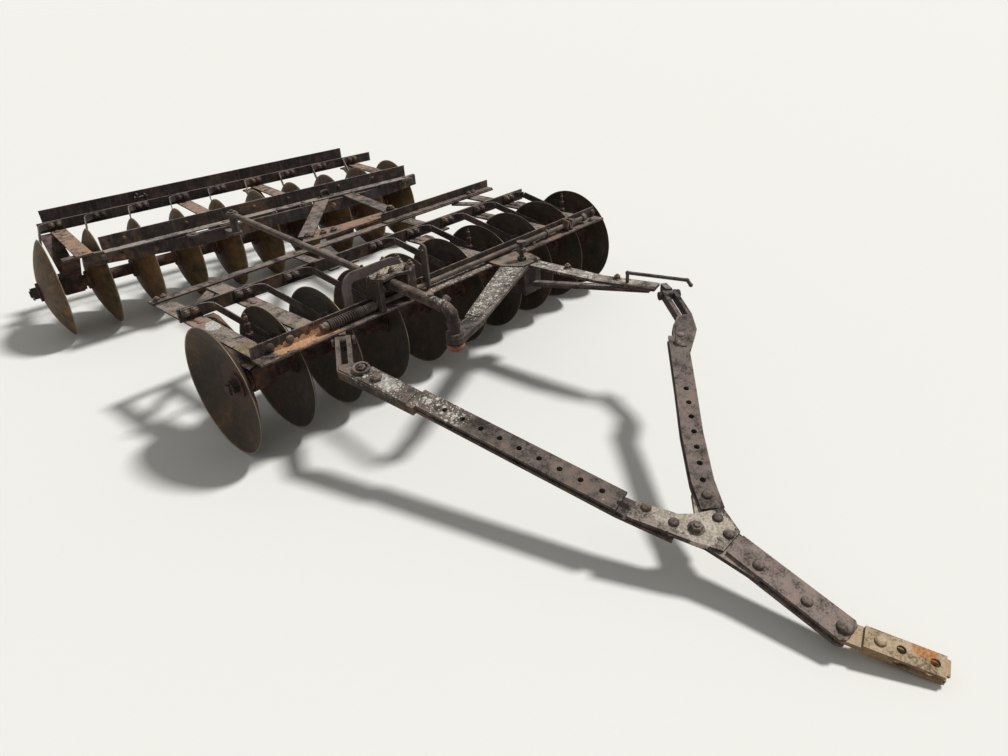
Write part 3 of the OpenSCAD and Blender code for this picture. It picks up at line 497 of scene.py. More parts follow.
bare = patches_at(HARROW, [(x, y, DECK_TOP) for x, y in ((108, 180), (116, 200), (124, 218))],
                  0.036, BARE_STEEL, 0.9)
end_rust = patches_at(HARROW, [(x, y, DECK_TOP) for x, y in ((104, -200), (120, -150), (90, -90))],
                      0.07, DULL_RUST, 0.6)
dress(weathered("front_bar_finish", top=(0.36, 0.31, 0.265), rust=0.3, lichen=0.6, patches=end_rust + bare),
      "front_cross_bars")
dress(weathered("rear_bar_finish", top=(0.44, 0.32, 0.25), warm=(0.12, 0.07, 0.045), rust=0.55, lichen=0.3),
      "rear_cross_bars")
dress(weathered("tongue_plate_finish", top=(0.36, 0.26, 0.215), rust=0.5, lichen=0.55), "rear_tongue")

# %% [markdown]
# A disc is pressed from sheet and ground at its edge, and the soil polished it once. Now the faces are an
# even dark olive brown, with faint rings from turning, a rusty middle and a thin lighter rim, partly polish
# and partly a painted highlight, and the rear ones are more ochre. The pattern follows the radius and the
# angle about the axle, so one finish serves ten discs and turns with them.

# %% Discs
RING_TINT, HUB_TINT, DISC_BLOOM = (0.075, 0.055, 0.035), (0.07, 0.035, 0.024), (0.17, 0.085, 0.035)
RIM_POLISH_AND_HIGHLIGHT, SPECK_TINT = (0.3, 0.24, 0.17), (0.4, 0.36, 0.28)
RIM_START, RIM_END = 0.2485, 0.2525


def disc_finish(name, centre, turn, dark, ochre, spread):
    """Rings and streaks from the radius r and the angle about the axle, over mottled rust."""
    f = Finish(name)
    local = f.node("ShaderNodeMapping", {"vector_type": "TEXTURE"},
                   {"Vector": f.place, "Location": tuple(centre), "Rotation": (0, 0, turn)})
    x, y, z = (f.node("ShaderNodeSeparateXYZ", {}, {0: local}, output=axis) for axis in "XYZ")
    flat = f.node("ShaderNodeCombineXYZ", {}, {1: y, 2: z})
    r = f.node("ShaderNodeVectorMath", {"operation": "LENGTH"}, {0: flat}, output="Value")
    angle = f.node("ShaderNodeMath", {"operation": "ARCTAN2"}, {0: z, 1: y})
    polar = f.node("ShaderNodeCombineXYZ", {}, {0: r * 90.0, 1: angle * 0.55, 2: x * 3.0})
    rays = f.node("ShaderNodeCombineXYZ", {}, {0: r * 3.0, 1: angle * 4.5, 2: x * 3.0})
    rings, streaks = f.noise(1.0, 3, 0.5, polar), f.noise(1.0, 5, 0.6, rays)
    broad, mottle, fine = f.noise(5.5, 4), f.noise(30, 6, 0.62), f.noise(190, 4)
    base = f.mix((broad * 0.5 + streaks * 0.25 + mottle * 0.4).ramp(0.5 - spread, 0.72), dark, ochre)
    base = f.mix((rings - 0.1).ramp(0.42, 0.6) * 0.3, base, RING_TINT)
    hub = 1 - (r + (mottle - 0.5) * 0.05).ramp(0.07, 0.13)
    base = f.mix(hub * 0.6, base, HUB_TINT)
    bloom = (mottle * 0.6 + broad * 0.4 + fine * 0.25).ramp(0.68, 0.78)
    base = f.mix(bloom * 0.5, base, DISC_BLOOM)
    base = f.mix(fine.ramp(0.56, 0.7) * 0.5, base, dark)
    # The rim is painted lighter: partly polish, partly a painted highlight.
    rim = (r + (mottle - 0.5) * 0.005).ramp(RIM_START, RIM_END)
    base = f.mix(rim * 0.7, base, RIM_POLISH_AND_HIGHLIGHT)
    specks = (1 - f.cells(120).ramp(0.1, 0.26)) * (f.noise(11, 3) + fine * 0.3).ramp(0.72, 0.8)
    base = f.mix(specks * 0.35, base, SPECK_TINT)
    height = rings * 0.25 + mottle * 0.4 + fine * 0.35
    return f.done(base, 0.62 + (mottle - 0.5) * 0.3 - rim * 0.2, height, 0.3, 0.0012, rim * 0.35)


front_axle = to_part([0, 0, AXLE_Z], HARROW)
rear_axle = to_part([0, 0, AXLE_Z], REAR)
front_disc = disc_finish("front_disc_finish", front_axle, 0.0, (0.021, 0.0155, 0.0105),
                         (0.066, 0.044, 0.026), 0.05)
# The rear discs' tones are ochre rust, darkened as painted shade.
rear_disc = disc_finish("rear_disc_finish", rear_axle, REAR_TURN, (0.032, 0.0215, 0.0135),
                        (0.15, 0.085, 0.036), 0.07)
dress(front_disc, "front_discs")
dress(rear_disc, "rear_discs")

# %% [markdown]
# The spools and bearings between the discs are iron castings, redder than the bars and nearly free of lichen
# in the shade. The arbors are rusty square bars, and the scrapers are flats with light edges, partly worn and
# partly a painted highlight. All of them are the same recipe with other numbers.

# %% Castings, arbors and scrapers
casting_finish = weathered("red_casting_finish", dark=(0.026, 0.015, 0.012), warm=(0.09, 0.045, 0.036),
                           top=(0.22, 0.16, 0.14), dust_and_sunlight=0.55, rust=0.25, lichen=0.1, rough=0.75)
dress(casting_finish, "front_spools", "front_bearings", "rear_spools", "rear_bearings")
dress(weathered("arbor_finish", dust_and_sunlight=0.3, rust=0.35, lichen=0.05), "front_arbor", "rear_arbor")
scraper_finish = weathered("scraper_finish", dark=(0.034, 0.028, 0.027), warm=(0.075, 0.06, 0.055),
                           top=(0.33, 0.3, 0.28), dust_and_sunlight=0.75, rust=0.15, lichen=0.35, edge=0.9)
dress(scraper_finish, "front_scrapers", "rear_scrapers")

# %% [markdown]
# The latch is an iron casting under a plate that holds a crust of earth. The pipes and the rod were handled
# and slid, so they are smoother and less rusty, and the barrel has bark-like scale. The heights of the plate
# and the rod are read from the part, so what stands on them follows.

# %% Latch, pipes and barrel
latch_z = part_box("latch_plate")[1][2] / MM + HITCH[2]
rod_z = (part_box("control_rod")[0][2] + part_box("control_rod")[1][2]) / 2 / MM + HITCH[2]
print("latch plate top", round(latch_z, 1), "rod axis", round(rod_z, 1))
crust_moss = moss_at(HARROW, [(640, -205, latch_z), (700, -190, latch_z), (600, -170, latch_z)], 0.1)
dress(weathered("latch_finish", top=(0.3, 0.25, 0.21), rust=0.2, lichen=0.7, moss=crust_moss),
      "latch_casting", "latch_plate", "crank_bracket")
dress(weathered("loop_finish", dark=(0.06, 0.047, 0.045), warm=(0.1, 0.08, 0.075), rust=0.1, lichen=0.5),
      "guide_loop", "trip_link")
pipe_finish = weathered("pipe_finish", dark=(0.045, 0.035, 0.032), warm=(0.1, 0.078, 0.068),
                        top=(0.27, 0.23, 0.205), dust_and_sunlight=0.7, rust=0.12, lichen=0.25, edge=0.2)
dress(pipe_finish, "trip_pipe", "control_rod", "rear_rod_bracket", "crank_rod_loop")
bark_finish = weathered("barrel_finish", dark=(0.028, 0.021, 0.019), warm=(0.085, 0.062, 0.052),
                        top=(0.2, 0.165, 0.145), dust_and_sunlight=0.7, rust=0.2, lichen=0.6, edge=0.2, relief=0.004,
                        moss=moss_at(HARROW, [(610, -520, rod_z + 20), (603, -590, rod_z + 20)], 0.05))
dress(bark_finish, "control_barrel")
coil_finish = weathered("coil_finish", warm=(0.05, 0.038, 0.034), top=(0.17, 0.145, 0.13), dust_and_sunlight=0.6,
                        rust=0.15, lichen=0.1, edge=0.2, rough=0.6)

# %% [markdown]
# The crank and the drawbar are forged flats that lay in the open. The crank's left arm is speckled
# grey-white all over its top, the drawbar has lichen by its left fork and straw-coloured dust where its bars
# meet, and the clevis is nearly bare. The lichen is thick round a chain of points along each arm.

# %% Crank and drawbar finishes
crank_moss = moss_at(HARROW, [(780 + 62 * i, -555 + 29 * i, CRANK_TOP + 2) for i in range(8)], 0.085)
crank_finish = weathered("crank_left_finish", top=(0.2, 0.18, 0.165), rust=0.05, lichen=0.95,
                         moss=crank_moss)
dress(crank_finish, "crank_left_arm")
arm_xy = ((1305, -450), (1310, -560), (1315, -680), (1355, -850))
crank_white = moss_at(HARROW, [(x, y, CRANK_TOP) for x, y in arm_xy], 0.085)
dress(weathered("crank_right_finish", top=(0.38, 0.34, 0.31), rust=0.1, lichen=0.9, moss=crank_white),
      "crank_right_arm")
straw_st = ((862, 985), (905, 1030), (955, 1020), (985, 1060), (930, 1075))
straw = patches_at(DRAWBAR, [(s, t, TOP) for s, t in straw_st], 0.055, (0.6, 0.53, 0.44), 0.7)
palm = patches_at(DRAWBAR, [(118, 262, TOP), (140, 290, TOP)], 0.04, (0.5, 0.48, 0.45), 0.7)
arm_moss = moss_at(DRAWBAR, [(60, 215, TOP), (150, 300, TOP), (260, 395, TOP), (330, 470, TOP)], 0.09)
draw_finish = weathered("left_arm_finish", dark=(0.028, 0.021, 0.018), warm=(0.07, 0.052, 0.043),
                        top=(0.19, 0.16, 0.145), rust=0.14, lichen=0.6, moss=arm_moss, patches=palm)
dress(draw_finish, "drawbar_left_arm", "drawbar_lug")
dress(weathered("right_arm_finish", dark=(0.035, 0.026, 0.023), warm=(0.09, 0.068, 0.06),
                top=(0.235, 0.19, 0.172), dust_and_sunlight=0.9, rust=0.12, lichen=0.5), "drawbar_right_arm")
dress(weathered("gusset_finish", top=(0.42, 0.36, 0.31), rust=0.2, lichen=0.6, patches=straw),
      "drawbar_gusset")
dress(weathered("tongue_finish", dark=(0.045, 0.033, 0.029), warm=(0.13, 0.098, 0.088),
                top=(0.31, 0.25, 0.225), dust_and_sunlight=0.9, rust=0.2, lichen=0.4), "drawbar_tongue")
tip = [((0.02, 0.03, 0.0), 0.05, (0.55, 0.25, 0.09), 0.9)]
clevis_finish = weathered("clevis_finish", dark=(0.12, 0.075, 0.04), warm=(0.3, 0.2, 0.11),
                          top=(0.58, 0.47, 0.33), dust_and_sunlight=0.9, rust=0.55, lichen=0.25, edge=0.4, patches=tip)
dress(clevis_finish, "hitch_clevis")


# %% [markdown]
# Here a shape becomes a Blender object: it rides on the body of the harrow that carries the real one,
# takes its material, and its corners sharper than 35 degrees stay sharp.

# %% Pieces
def piece(name, shape, place, body, material):
    """Mesh of the shape at its place, dressed, on its body and in its slot."""
    points, faces = shape
    mesh = bpy.data.meshes.new(name)
    polygons = [row for group in faces for row in group.tolist()]
    mesh.from_pydata(to_part(points, place).tolist(), [], polygons)
    mesh.shade_smooth()
    mesh.set_sharp_from_angle(angle=math.radians(35))
    mesh.materials.append(material)
    made = bpy.data.objects.new(name, mesh)
    bpy.context.scene.collection.objects.link(made)
    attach(made, body)
    print(name, len(mesh.polygons), "faces")
    return made


bolt_finish = weathered("bolt_finish", dark=(0.04, 0.03, 0.026), warm=(0.12, 0.08, 0.06),
                        top=(0.3, 0.25, 0.22), rust=0.3, lichen=0.3, edge=0.8)

# %% [markdown]
# The spring on the trip pipe is wire wound on a mandrel, with its ends close together. So the wire is a tube
# carried round a helix whose pitch is small at both ends and wide between. It replaces the part's plain one.

# %% Coil spring
TRIP_Y, TRIP_Z = -237, 455
COILS, WIRE_D, COIL_R, COIL_START, COIL_LENGTH = 17, 6.8, 17.0, 349.5, 156.5
share = np.linspace(0, 1, COILS * 28 + 1)
travel = share - 0.2 * np.sin(2 * np.pi * share) / (2 * np.pi)
wound = COILS * 2 * np.pi * share
helix = np.column_stack([COIL_START + travel * COIL_LENGTH, TRIP_Y + COIL_R * np.cos(wound),
                         TRIP_Z + COIL_R * np.sin(wound)])
spring = piece("coil_spring", tube(helix, WIRE_D / 2, 8, (1, 0, 0)), HARROW, "front_frame",
               coil_finish)
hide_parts("trip_spring")

# %% [markdown]
# Rivets hold the front frame's bars together for good, and bolts hold what was meant to come off: each
# scraper's foot has two on the face of its bar. They are laid out by the pitch of the discs. The rivets in
# the middle of the back strip are low, because the rear tongue sweeps over them.

# %% Front frame fasteners
BAR_FACE, FOOT_Z = 320, 460
front_feet = [k for k in range(1, 10) if k != 4]
foot_bolts = [(k * PITCH + dx, BAR_FACE, FOOT_Z) for k in front_feet for dx in (-152, -116)]
bars = [i * PITCH + 102 for i in (0, 1, 5, 7, 8)]
rail_heads = rows(dome(34, 11), [(x, -212, 450) for x in (123, 203, 1893, 1967)], (0, -1, 0))
legs_at = [(x, y, CRANK_TOP) for x, y in ((112, -255), (1905, -255), (1480, -240))]
leg_bolts = rows(bolt(27, 10, 5), legs_at, (0, 0, 1), 1)
foot_row = rows(bolt(25, 11, 8), foot_bolts, (0, -1, 0), 2)
strip_at = [(bars[0] - 14, 622, STRIP_TOP), (bars[0] + 18, 628, STRIP_TOP)]
strip_bolts = rows(bolt(27, 10, 5), strip_at, (0, 0, 1), 3)
low_at = [(bars[1], 625, STRIP_TOP), (765, 628, STRIP_TOP), (875, 628, STRIP_TOP)]
strip_rivets = rows(dome(28, 7), low_at, (0, 0, 1), 3)
angle_bolts = rows(bolt(27, 10, 5), [(1915, 624, ANGLE_TOP), (1950, 622, ANGLE_TOP)], (0, 0, 1), 4)
deck_bolts = rows(dome(30, 8), [(x, y, DECK_TOP) for y in (296, 268) for x in bars], (0, 0, 1), 5)
fasteners = join([rail_heads, leg_bolts, foot_row, strip_bolts, strip_rivets, angle_bolts, deck_bolts])
piece("front_bolts", fasteners, HARROW, "front_frame", bolt_finish)

# %% [markdown]
# The fourth scraper is missing, so two of the holes here are the empty ones of its foot, and beside the
# other feet there is an unused slot. A Boolean could cut them, but the part's meshes stay as they came, so
# a hole is a disc a hair proud of the steel, painted dark as the shade inside the hole.

# %% Empty holes
HOLE_FACE = 326
# A hole's dark tone is painted shade: the inside of the hole.
hole_shade = Finish("hole_shade")
hole_shade_tone = hole_shade.mix(hole_shade.noise(60), (0.012, 0.01, 0.009), (0.03, 0.022, 0.018))
hole_shade_material = hole_shade.done(hole_shade_tone, 0.9, hole_shade.noise(90))
hole = lathe([[7.5, 0], [7.5, 0.4], [7, 0.6]], 16)
slot_hole = plate([(-16, -7), (10, -7), (16, -3), (16, 3), (10, 7), (-16, 7)], 0, 0.6, 0.2)
empty_at = [(x, HOLE_FACE, z) for x, z in ((802, 452), (841, 452), (914, 454), (640, 455))]
empty = rows(hole, empty_at, (0, -1, 0), 6)
slots = join([stand(slot_hole, (k * PITCH - 92, HOLE_FACE, FOOT_Z), (0, -1, 0))
              for k in front_feet if k > 1])
piece("front_bar_holes", join([empty, slots]), HARROW, "front_frame", hole_shade_material)

# %% [markdown]
# Grease gets to each bearing through a pipe that stands up through the deck. Here are its six-sided base and,
# at the top, the fitting turned from bar. So one is a nut and the other a profile on the lathe.

# %% Grease pipes
pipe_top = lathe([[9, 0], [9, 5], [5.5, 7], [5.5, 26], [8, 27], [8, 33], [4, 35], [3.4, 41], [4.4, 43],
                  [2.5, 46]], 14)
PIPE_TOP = DECK_TOP + 42
over_bearings = [i * PITCH + 160 for i in (0, 5, 8)]
grease = join([join([stand(nut(30, 10), (x, 0, DECK_TOP)), stand(pipe_top, (x, 0, PIPE_TOP))])
               for x in over_bearings])
piece("grease_pipes", grease, HARROW, "front_frame", casting_finish)

# %% [markdown]
# The latch plate is held by bolts round its edge, two of them on long studs. Earth and lichen have grown to
# a crust on it: a cap whose height falls towards its rim. Sculpting would do, but sums of sines roughen it
# the same way each time.

# %% Latch plate
plate_edge = ((585, -262), (650, -255), (704, -282), (742, -256), (757, -158), (703, -138), (598, -142),
              (574, -170))
plate_bolts = rows(bolt(25, 12, 9), [(x, y, latch_z) for x, y in plate_edge], (0, 0, 1), 7)
latch_studs = rows(thread(13, 40), [(704, -282, latch_z - 42), (742, -256, latch_z - 42)], (0, 0, 1), 8)
rho = np.linspace(1, 0.04, 12)[:, None]
phi = np.arange(40) * 2 * np.pi / 40
wobble = 1 + 0.13 * np.sin(3 * phi + 1) + 0.08 * np.sin(7 * phi)
MOUND_X, MOUND_Y, HALF_LONG, HALF_WIDE, MOUND_H = 655, -200, 72, 42, 8
px, py = HALF_LONG * rho * np.cos(phi) * wobble, HALF_WIDE * rho * np.sin(phi) * wobble
waves = 1.3 * np.sin(px * 0.31 + py * 0.2) * np.sin(py * 0.37)
ripples = 0.9 * np.sin(px * 0.83) * np.cos(py * 0.71)
pz = (1 - rho**2) * MOUND_H + (waves + ripples) * (1 - rho**4)
foot_z = latch_z - 0.5
mound = closed_rings(np.stack([px + MOUND_X, py + MOUND_Y, foot_z + pz], -1), [MOUND_X, MOUND_Y, foot_z],
                     [MOUND_X, MOUND_Y, foot_z + MOUND_H])
piece("latch_bolts", join([plate_bolts, latch_studs]), HARROW, "front_frame", bolt_finish)
earth = Finish("earth_crust")
grain = earth.noise(60, 6, 0.65)
earth_base = earth.mix(grain.ramp(0.35, 0.65), (0.16, 0.12, 0.08), (0.5, 0.46, 0.36))
earth_base = earth.mix((1 - earth.cells(70).ramp(0.1, 0.3)) * 0.7, earth_base, (0.6, 0.58, 0.44))
piece("latch_crust", mound, HARROW, "front_frame",
      earth.done(earth_base, 0.95, grain, 0.9, 0.004))

# %% [markdown]
# The crank's left arm is two plates deep: a lichen-covered one ends in a step short of the round end.
# A cap, split pins and two clamp plates finish the trip pipe. The pins are wires bent through three points.

# %% Crank and trip details
step_outline = [(1240, -318), (1212, -296), (748, -545), (762, -601), (1262, -392)]
step_plate = plate(step_outline, CRANK_TOP, CRANK_TOP + 4, 1.2)
piece("crank_step_plate", step_plate, HARROW, "front_frame", crank_finish)
arm_bolts_at = [(x, y, CRANK_TOP) for x, y in ((1318, -398), (1335, -560), (1352, -800))]
crank_bolts = rows(bolt(28, 12, 6), arm_bolts_at, (0, 0, 1), 9)
clamp = plate([(-26, -24), (14, -24), (26, -8), (26, 20), (8, 30), (-26, 22)], 0, 6, 1.2)
clamps = join([stand(clamp, (x, TRIP_Y - 4, TRIP_Z + 6), (1, 0, 0), turn)
               for x, turn in ((1708, 0.2), (1722, 1.2))])


def split_pin(x):
    """A bent wire over the trip pipe at x."""
    return tube(smooth_path([(x, TRIP_Y + 13, TRIP_Z + 14), (x + 2, TRIP_Y, TRIP_Z + 22),
                             (x - 2, TRIP_Y - 13, TRIP_Z + 12)]), 1.8, 8)


split_pins = join([split_pin(x) for x in (1598, 1782, 572)])
trip_cap = rows(nut(30, 12), [(330, TRIP_Y, TRIP_Z)], (-1, 0, 0), 10)
piece("crank_and_trip_bolts", join([crank_bolts, split_pins, trip_cap, clamps]), HARROW, "front_frame",
      bolt_finish)

# %% [markdown]
# The barrel is a pipe with a forged elbow, shrunk bands at its joints and set screws in its flanks. All of
# it is laid out along the rod from the crank's pivot, and rides on the barrel, so it swings with it.

# %% Barrel
rod_way = np.array([0.09184535, 0.99577328, 0.0])
rod_side = np.array([rod_way[1], -rod_way[0], 0.0])
pivot = np.array([600.0, -640.0, rod_z])
left_up, right_up = -0.7 * rod_side + [0, 0, 0.71], 0.75 * rod_side + [0, 0, 0.66]
collar = tube([pivot + rod_way * 448, pivot + rod_way * 455, pivot + rod_way * 469], 22.5, 20, (0, 0, 1))
barrel_trim = join([
    stand(bolt(18, 10, 7), pivot + rod_way * 262 + left_up * 20.3, left_up),
    stand(nut(30, 20), pivot + rod_way * 58 + right_up * 19.5, right_up),
    stand(nut(24, 9), pivot + rod_way * 120 + [0, 0, 20.2]),
    collar,
])
piece("barrel_fittings", barrel_trim, HARROW, "control_barrel", bolt_finish)
elbow_bands = join([
    tube([pivot + rod_way * 40, pivot + rod_way * 47, pivot + rod_way * 60], 24.5, 20, (0, 0, 1)),
    tube([pivot + [0, 0, -58], pivot + [0, 0, -50], pivot + [0, 0, -40]], 24.5, 20, (0, 1, 0)),
    stand(nut(32, 22, 8), pivot + [0, 0, -14] - rod_way * 2, (-0.35, -0.55, 0.76)),
])
piece("elbow_bands", elbow_bands, HARROW, "control_barrel", bark_finish)
red_finish = weathered("red_cap_finish", dark=(0.12, 0.045, 0.025), warm=(0.32, 0.13, 0.075),
                       top=(0.42, 0.22, 0.15), dust_and_sunlight=0.6, rust=0.7, lichen=0.2, edge=0.2)
cap = stand(lathe([[33, 0], [33, 9], [30, 12], [24, 16], [24, 26]], 28), (*pivot[:2], 402), (0, 0, -1))
piece("crank_pivot_cap", cap, HARROW, "control_barrel", red_finish)

# %% [markdown]
# The drawbar is riveted hot: large round heads on both sides wherever two bars meet, so one list of places
# serves both sides. The left fork carries a ring with a nut sunk in it, and the forks' palms lie on the bars
# as an extra plate with a step at the end. A torn slot is a spot painted dark as the shade inside it, like the
# empty holes.

# %% Drawbar
HINGE_L = float(np.linalg.norm(HINGE_B - HINGE_A))
rivet_st = [(808, 957), (866, 1022), (1195, 262), (1170, 300), (995, 953), (992, 1034), (998, 1092),
            (1033, 1200), (1105, 1323)]
upper = rows(dome(32, 11), [(s, t, TOP) for s, t in rivet_st], (0, 0, 1), 11)
lower = rows(dome(32, 9), [(s, t, -TOP) for s, t in rivet_st], (0, 0, -1), 12)
swivel_head = stand(dome(44, 14), (*SWIVEL, TOP))
swivel_under = stand(nut(42, 16), (*SWIVEL, -TOP), (0, 0, -1))
gusset_bolt = stand(bolt(38, 14, 6), (919, 1054, TOP), (0, 0, 1), 0.4)
ring_at = (56, 197, TOP + 8)
ring_boss = join([stand(ring(22, 31, 9), ring_at), stand(nut(34, 12), ring_at, (0, 0, 1), 0.3),
                  stand(thread(17, 7), (*ring_at[:2], TOP + 20))])
palm_bolt = stand(bolt(40, 15, 3), (102, 254, TOP), (0, 0, 1), 0.8)
heads = join([upper, lower, swivel_head, swivel_under, gusset_bolt, ring_boss, palm_bolt])
piece("drawbar_rivets", heads, DRAWBAR, "drawbar", bolt_finish)
left_palm = plate([(92, 192), (232, 346), (186, 394), (34, 234), (-22, 178), (-22, 158), (24, 158)],
                  TOP, TOP + 4, 1)
right_palm = plate([(HINGE_L - 22, 158), (HINGE_L + 22, 158), (HINGE_L + 6, 232), (HINGE_L - 64, 326),
                    (HINGE_L - 102, 312), (HINGE_L - 60, 204)], TOP, TOP + 4, 1)
piece("drawbar_palms", join([left_palm, right_palm]), DRAWBAR, "drawbar", draw_finish)
torn = plate([(736, 915), (752, 925), (764, 941), (757, 952), (741, 942), (731, 927)],
             TOP - 0.2, TOP + 0.5, 0.2)
piece("drawbar_torn_slot", torn, DRAWBAR, "drawbar", hole_shade_material)
root = SWIVEL + CLEVIS_WAY * 82
root_bolt = join([stand(dome(30, 9), (*root, CLEVIS_TOP)),
                  stand(dome(28, 8), (*root, -CLEVIS_TOP), (0, 0, -1))])
piece("clevis_bolts", root_bolt, DRAWBAR, "hitch_clevis", clevis_finish)

# %% [markdown]
# The rear frame has the same fasteners and a clamp near the right end of its beam. They are written in the
# rear frame's own turned frame of reference, so rows stay rows, with a direction for each slanting face.

# %% Rear frame fasteners
REAR_FOOT_Z, REAR_TOP = 493, 463
rear_foot = [(i * PITCH + dx, BAR_FACE, REAR_FOOT_Z) for i in range(9) for dx in (116, 152)]
rear_foot_row = rows(bolt(25, 11, 8), rear_foot, (0, -1, 0), 13)
rear_bars = [(i + 1) * PITCH - 90 for i in (0, 3, 5, 8)]
rail_row = rows(dome(28, 8), [(u, -312, REAR_TOP) for u in rear_bars[1:]], (0, 0, 1), 14)
back_row = rows(bolt(27, 10, 5), [(u + d, 438, REAR_TOP) for u in rear_bars for d in (-17, 17)],
                (0, 0, 1), 15)
corner = rows(dome(30, 8), [(150, -222, 457), (130, 300, 457)], (0, 0, 1), 16)
leg_row = rows(dome(18, 5), [(u, -286, 498) for u in (330, 640, 1010, 1210, 1530, 1760)], (0, -1, 0), 17)
web = np.array([-0.2379, -0.9713, 0.0])
web_row = rows(dome(28, 8), [(218, -257.6, 420), (300, -277.7, 408), (455, -315.6, 420)], web, 18)
mid_row = rows(bolt(24, 10, 8), [(1612, -356, 430), (1614, -356, 404), (1444, -356, 420)], (0, -1, 0), 19)
slant = np.array([0.2420, -0.9703, 0.0])
BEAM_CLAMP = np.array([1960, -281.2, 416])
beam_clamp = join([stand(plate([(-22, -28), (22, -28), (22, 28), (-22, 28)], 0, 12, 2), BEAM_CLAMP, slant),
                   stand(bolt(24, 10, 8), BEAM_CLAMP + slant * 12, slant)])
rear_fasteners = join([rear_foot_row, rail_row, back_row, corner, leg_row, web_row, mid_row,
                       beam_clamp])
piece("rear_bolts", rear_fasteners, REAR, "rear_frame", bolt_finish)

# %% [markdown]
# An eye sticks out of the bow beam, a hook bolt stands on the strap, and a clip stands on the back angle. Each
# is sheared or bent from bar, so they are plates, a ring and tubes, joined into one piece.

# %% Eye, hook and clip
eye = join([stand(ring(11, 30, 9), (629, -372, 449)),
            plate([(600, -352), (658, -352), (658, -334), (600, -334)], 449, 457, 1.5)])
hook = tube(smooth_path([(1448, -304, 452), (1448, -304, 482), (1438, -306, 496), (1416, -310, 498),
                         (1400, -312, 490), (1397, -313, 470)]), 8, 12, (0, 1, 0.1))
clip = join([plate([(598, 408), (606, 408), (606, 440), (598, 440)], REAR_TOP, 540, 1.5),
             plate([(640, 408), (648, 408), (648, 440), (640, 440)], REAR_TOP, 532, 1.5),
             tube([(590, 424, 515), (622, 424, 516), (658, 424, 515)], 7, 12, (0, 0, 1)),
             stand(nut(24, 9), (590, 424, 515), (-1, 0, 0))])
strap_plate = plate([(1380, -318), (1478, -318), (1478, -290), (1380, -290)], REAR_TOP, REAR_TOP + 5, 1.5)
piece("rear_clips", join([eye, hook, clip, strap_plate]), REAR, "rear_frame",
      dark_finish)

# %% [markdown]
# The tongue plate that ties the two frames has its own nuts, and one large nut holds the pin they turn on.
# The rear rail is punched all along, and its spare holes are discs of painted shade again.

# %% Tongue nuts and spare holes
plate_nuts = rows(bolt(34, 14, 8), [(985, 712, 449), (1040, 704, 449), (905, 735, 449)], (0, 0, 1), 20)
pin_nut = stand(nut(34, 10), (1420, 720, 473))
piece("rear_tongue_bolts", plate_nuts, HARROW, "rear_frame", bolt_finish)
piece("frame_pin_nut", pin_nut, HARROW, "front_frame", bolt_finish)
holes_at = [(u, -286, 505) for u in (260, 420, 520, 760, 860, 1110, 1340, 1440, 1660, 1860)]
rail_holes = rows(lathe([[6, 0], [6, 0.4], [5.5, 0.6]], 14), holes_at, (0, -1, 0), 21)
beam_hole = stand(lathe([[10, 0], [10, 0.4], [9.4, 0.6]], 16), (1898, -296.6, 414), slant)
piece("rear_rail_holes", join([rail_holes, beam_hole]), REAR, "rear_frame",
      hole_shade_material)

# %% [markdown]
# A split pin through each end of the arbor keeps its nut from working loose. It is half-round wire with its
# legs bent apart, so it is two tubes, and it turns with the gang.

# %% Gang ends
def gang_end(x_out, way):
    """Split pin through the end of the arbor, its legs bent apart, inside the end face."""
    x = x_out - way * 8
    spread = [(x, 0, AXLE_Z + 30), (x, 0, AXLE_Z), (x, 3, AXLE_Z - 28), (x - way * 4, 10, AXLE_Z - 31)]
    back = [(x, 3, AXLE_Z - 20), (x, -3, AXLE_Z - 28), (x - way * 4, -10, AXLE_Z - 31)]
    return join([tube(smooth_path(path), 2.4, 8, (1, 0, 0.1)) for path in (spread, back)])


GANG = 9 * PITCH
END_NUT = 11 + 26 + 12
first_end, last_end = 70 - END_NUT, GANG + 75 + END_NUT
front_ends = join([gang_end(first_end, -1), gang_end(last_end, 1)])
piece("front_gang_ends", front_ends, HARROW, "front_gang", bolt_finish)
rear_ends = join([gang_end(GANG - first_end, 1), gang_end(GANG - last_end, -1)])
piece("rear_gang_ends", rear_ends, REAR, "rear_gang", bolt_finish)

# %% [markdown]
# The stage is a plain pale floor at the height of the discs' lowest points, where the ground would be. A
# plane is enough, so large that its edge is lost in the distance.

# %% Floor
ground = -HITCH[2] * MM
FLOOR_HALF = 200.0
floor_mesh = bpy.data.meshes.new("floor")
signs = ((-1, -1), (1, -1), (1, 1), (-1, 1))
floor_mesh.from_pydata([(x * FLOOR_HALF, y * FLOOR_HALF, ground) for x, y in signs], [], [(0, 1, 2, 3)])
floor = bpy.data.objects.new("floor", floor_mesh)
bpy.context.scene.collection.objects.link(floor)
pale = Finish("pale_floor")
floor_mesh.materials.append(pale.done((0.8, 0.8, 0.78, 1.0), 0.9, pale.noise(3.0), 0.02))
print("floor at", round(ground, 4))

# %% [markdown]
# A soft sun from the right gives the shadows, and a pale sky fills them. The sky looks white to the camera
# and in reflections, but lights the harrow less, so that colours come out about as they are written.

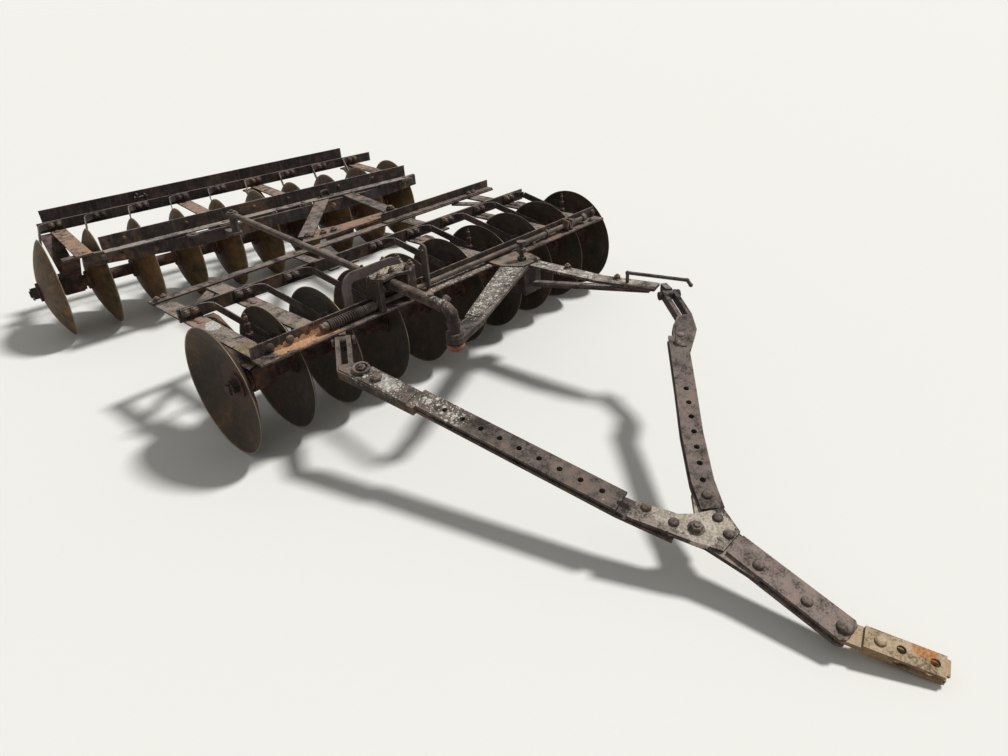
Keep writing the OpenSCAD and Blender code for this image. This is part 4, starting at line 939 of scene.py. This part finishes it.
# %% Sky and sun
world = bpy.data.worlds.new("studio")
bpy.context.scene.world = world
SKY_COLOUR, SKY_LIGHT = (0.9, 0.894, 0.85, 1.0), 0.325
sky = Graph(world)
to_eye = sky.node("ShaderNodeLightPath", output="Is Camera Ray")
seen = to_eye.most(sky.node("ShaderNodeLightPath", output="Is Glossy Ray"))
strength = sky.node("ShaderNodeMapRange", {}, {"Value": seen, "To Min": SKY_LIGHT, "To Max": 1.0})
glow = sky.node("ShaderNodeBackground", {}, {"Color": SKY_COLOUR, "Strength": strength})
sky.node("ShaderNodeOutputWorld", {}, {"Surface": glow})

SUN_POWER, SUN_WIDTH, SUN_WAY = 3.1, math.radians(9), Vector((0.52, -0.22, 0.83))
sun_data = bpy.data.lights.new("soft_sun", "SUN")
sun_data.energy = SUN_POWER
sun_data.angle = SUN_WIDTH
sun_data.color = (1.0, 0.985, 0.955)
sun = bpy.data.objects.new("soft_sun", sun_data)
bpy.context.scene.collection.objects.link(sun)
sun.rotation_euler = SUN_WAY.to_track_quat("Z", "Y").to_euler()
print("sun of", SUN_POWER, "from", SUN_WAY)

# %% [markdown]
# The camera stands where the photographer stood. Its place, turn and lens were worked out from the rims of
# the discs, so they are numbers. A camera's own z points backwards, so the way ahead goes in with a minus.

# %% Camera
PITCH_DOWN, ROLL, YAW = (math.radians(v) for v in (29.39, -4.0, 45.08))
EYE, FOCAL_PX, PHOTO_PX, SENSOR = [-907, -2371, 1535], 720.6, 1008, 36.0
flat = math.cos(PITCH_DOWN)
ahead = np.array([math.sin(YAW) * flat, math.cos(YAW) * flat, -math.sin(PITCH_DOWN)])
level = np.array([math.cos(YAW), -math.sin(YAW), 0.0])
above = np.cross(level, ahead)
right = level * math.cos(ROLL) + above * math.sin(ROLL)
above = -level * math.sin(ROLL) + above * math.cos(ROLL)
lens_data = bpy.data.cameras.new("photographer")
lens_data.sensor_fit = "HORIZONTAL"
lens_data.sensor_width = SENSOR
lens_data.lens = FOCAL_PX / PHOTO_PX * SENSOR
camera = bpy.data.objects.new("photographer", lens_data)
bpy.context.scene.collection.objects.link(camera)
placed = np.vstack([np.column_stack([right, above, -ahead, to_part(EYE, HARROW)]), [0, 0, 0, 1]])
camera.matrix_world = Matrix(placed.tolist())
bpy.context.scene.camera = camera
bpy.context.scene.view_settings.view_transform = "Standard"
print("camera at", camera.location)
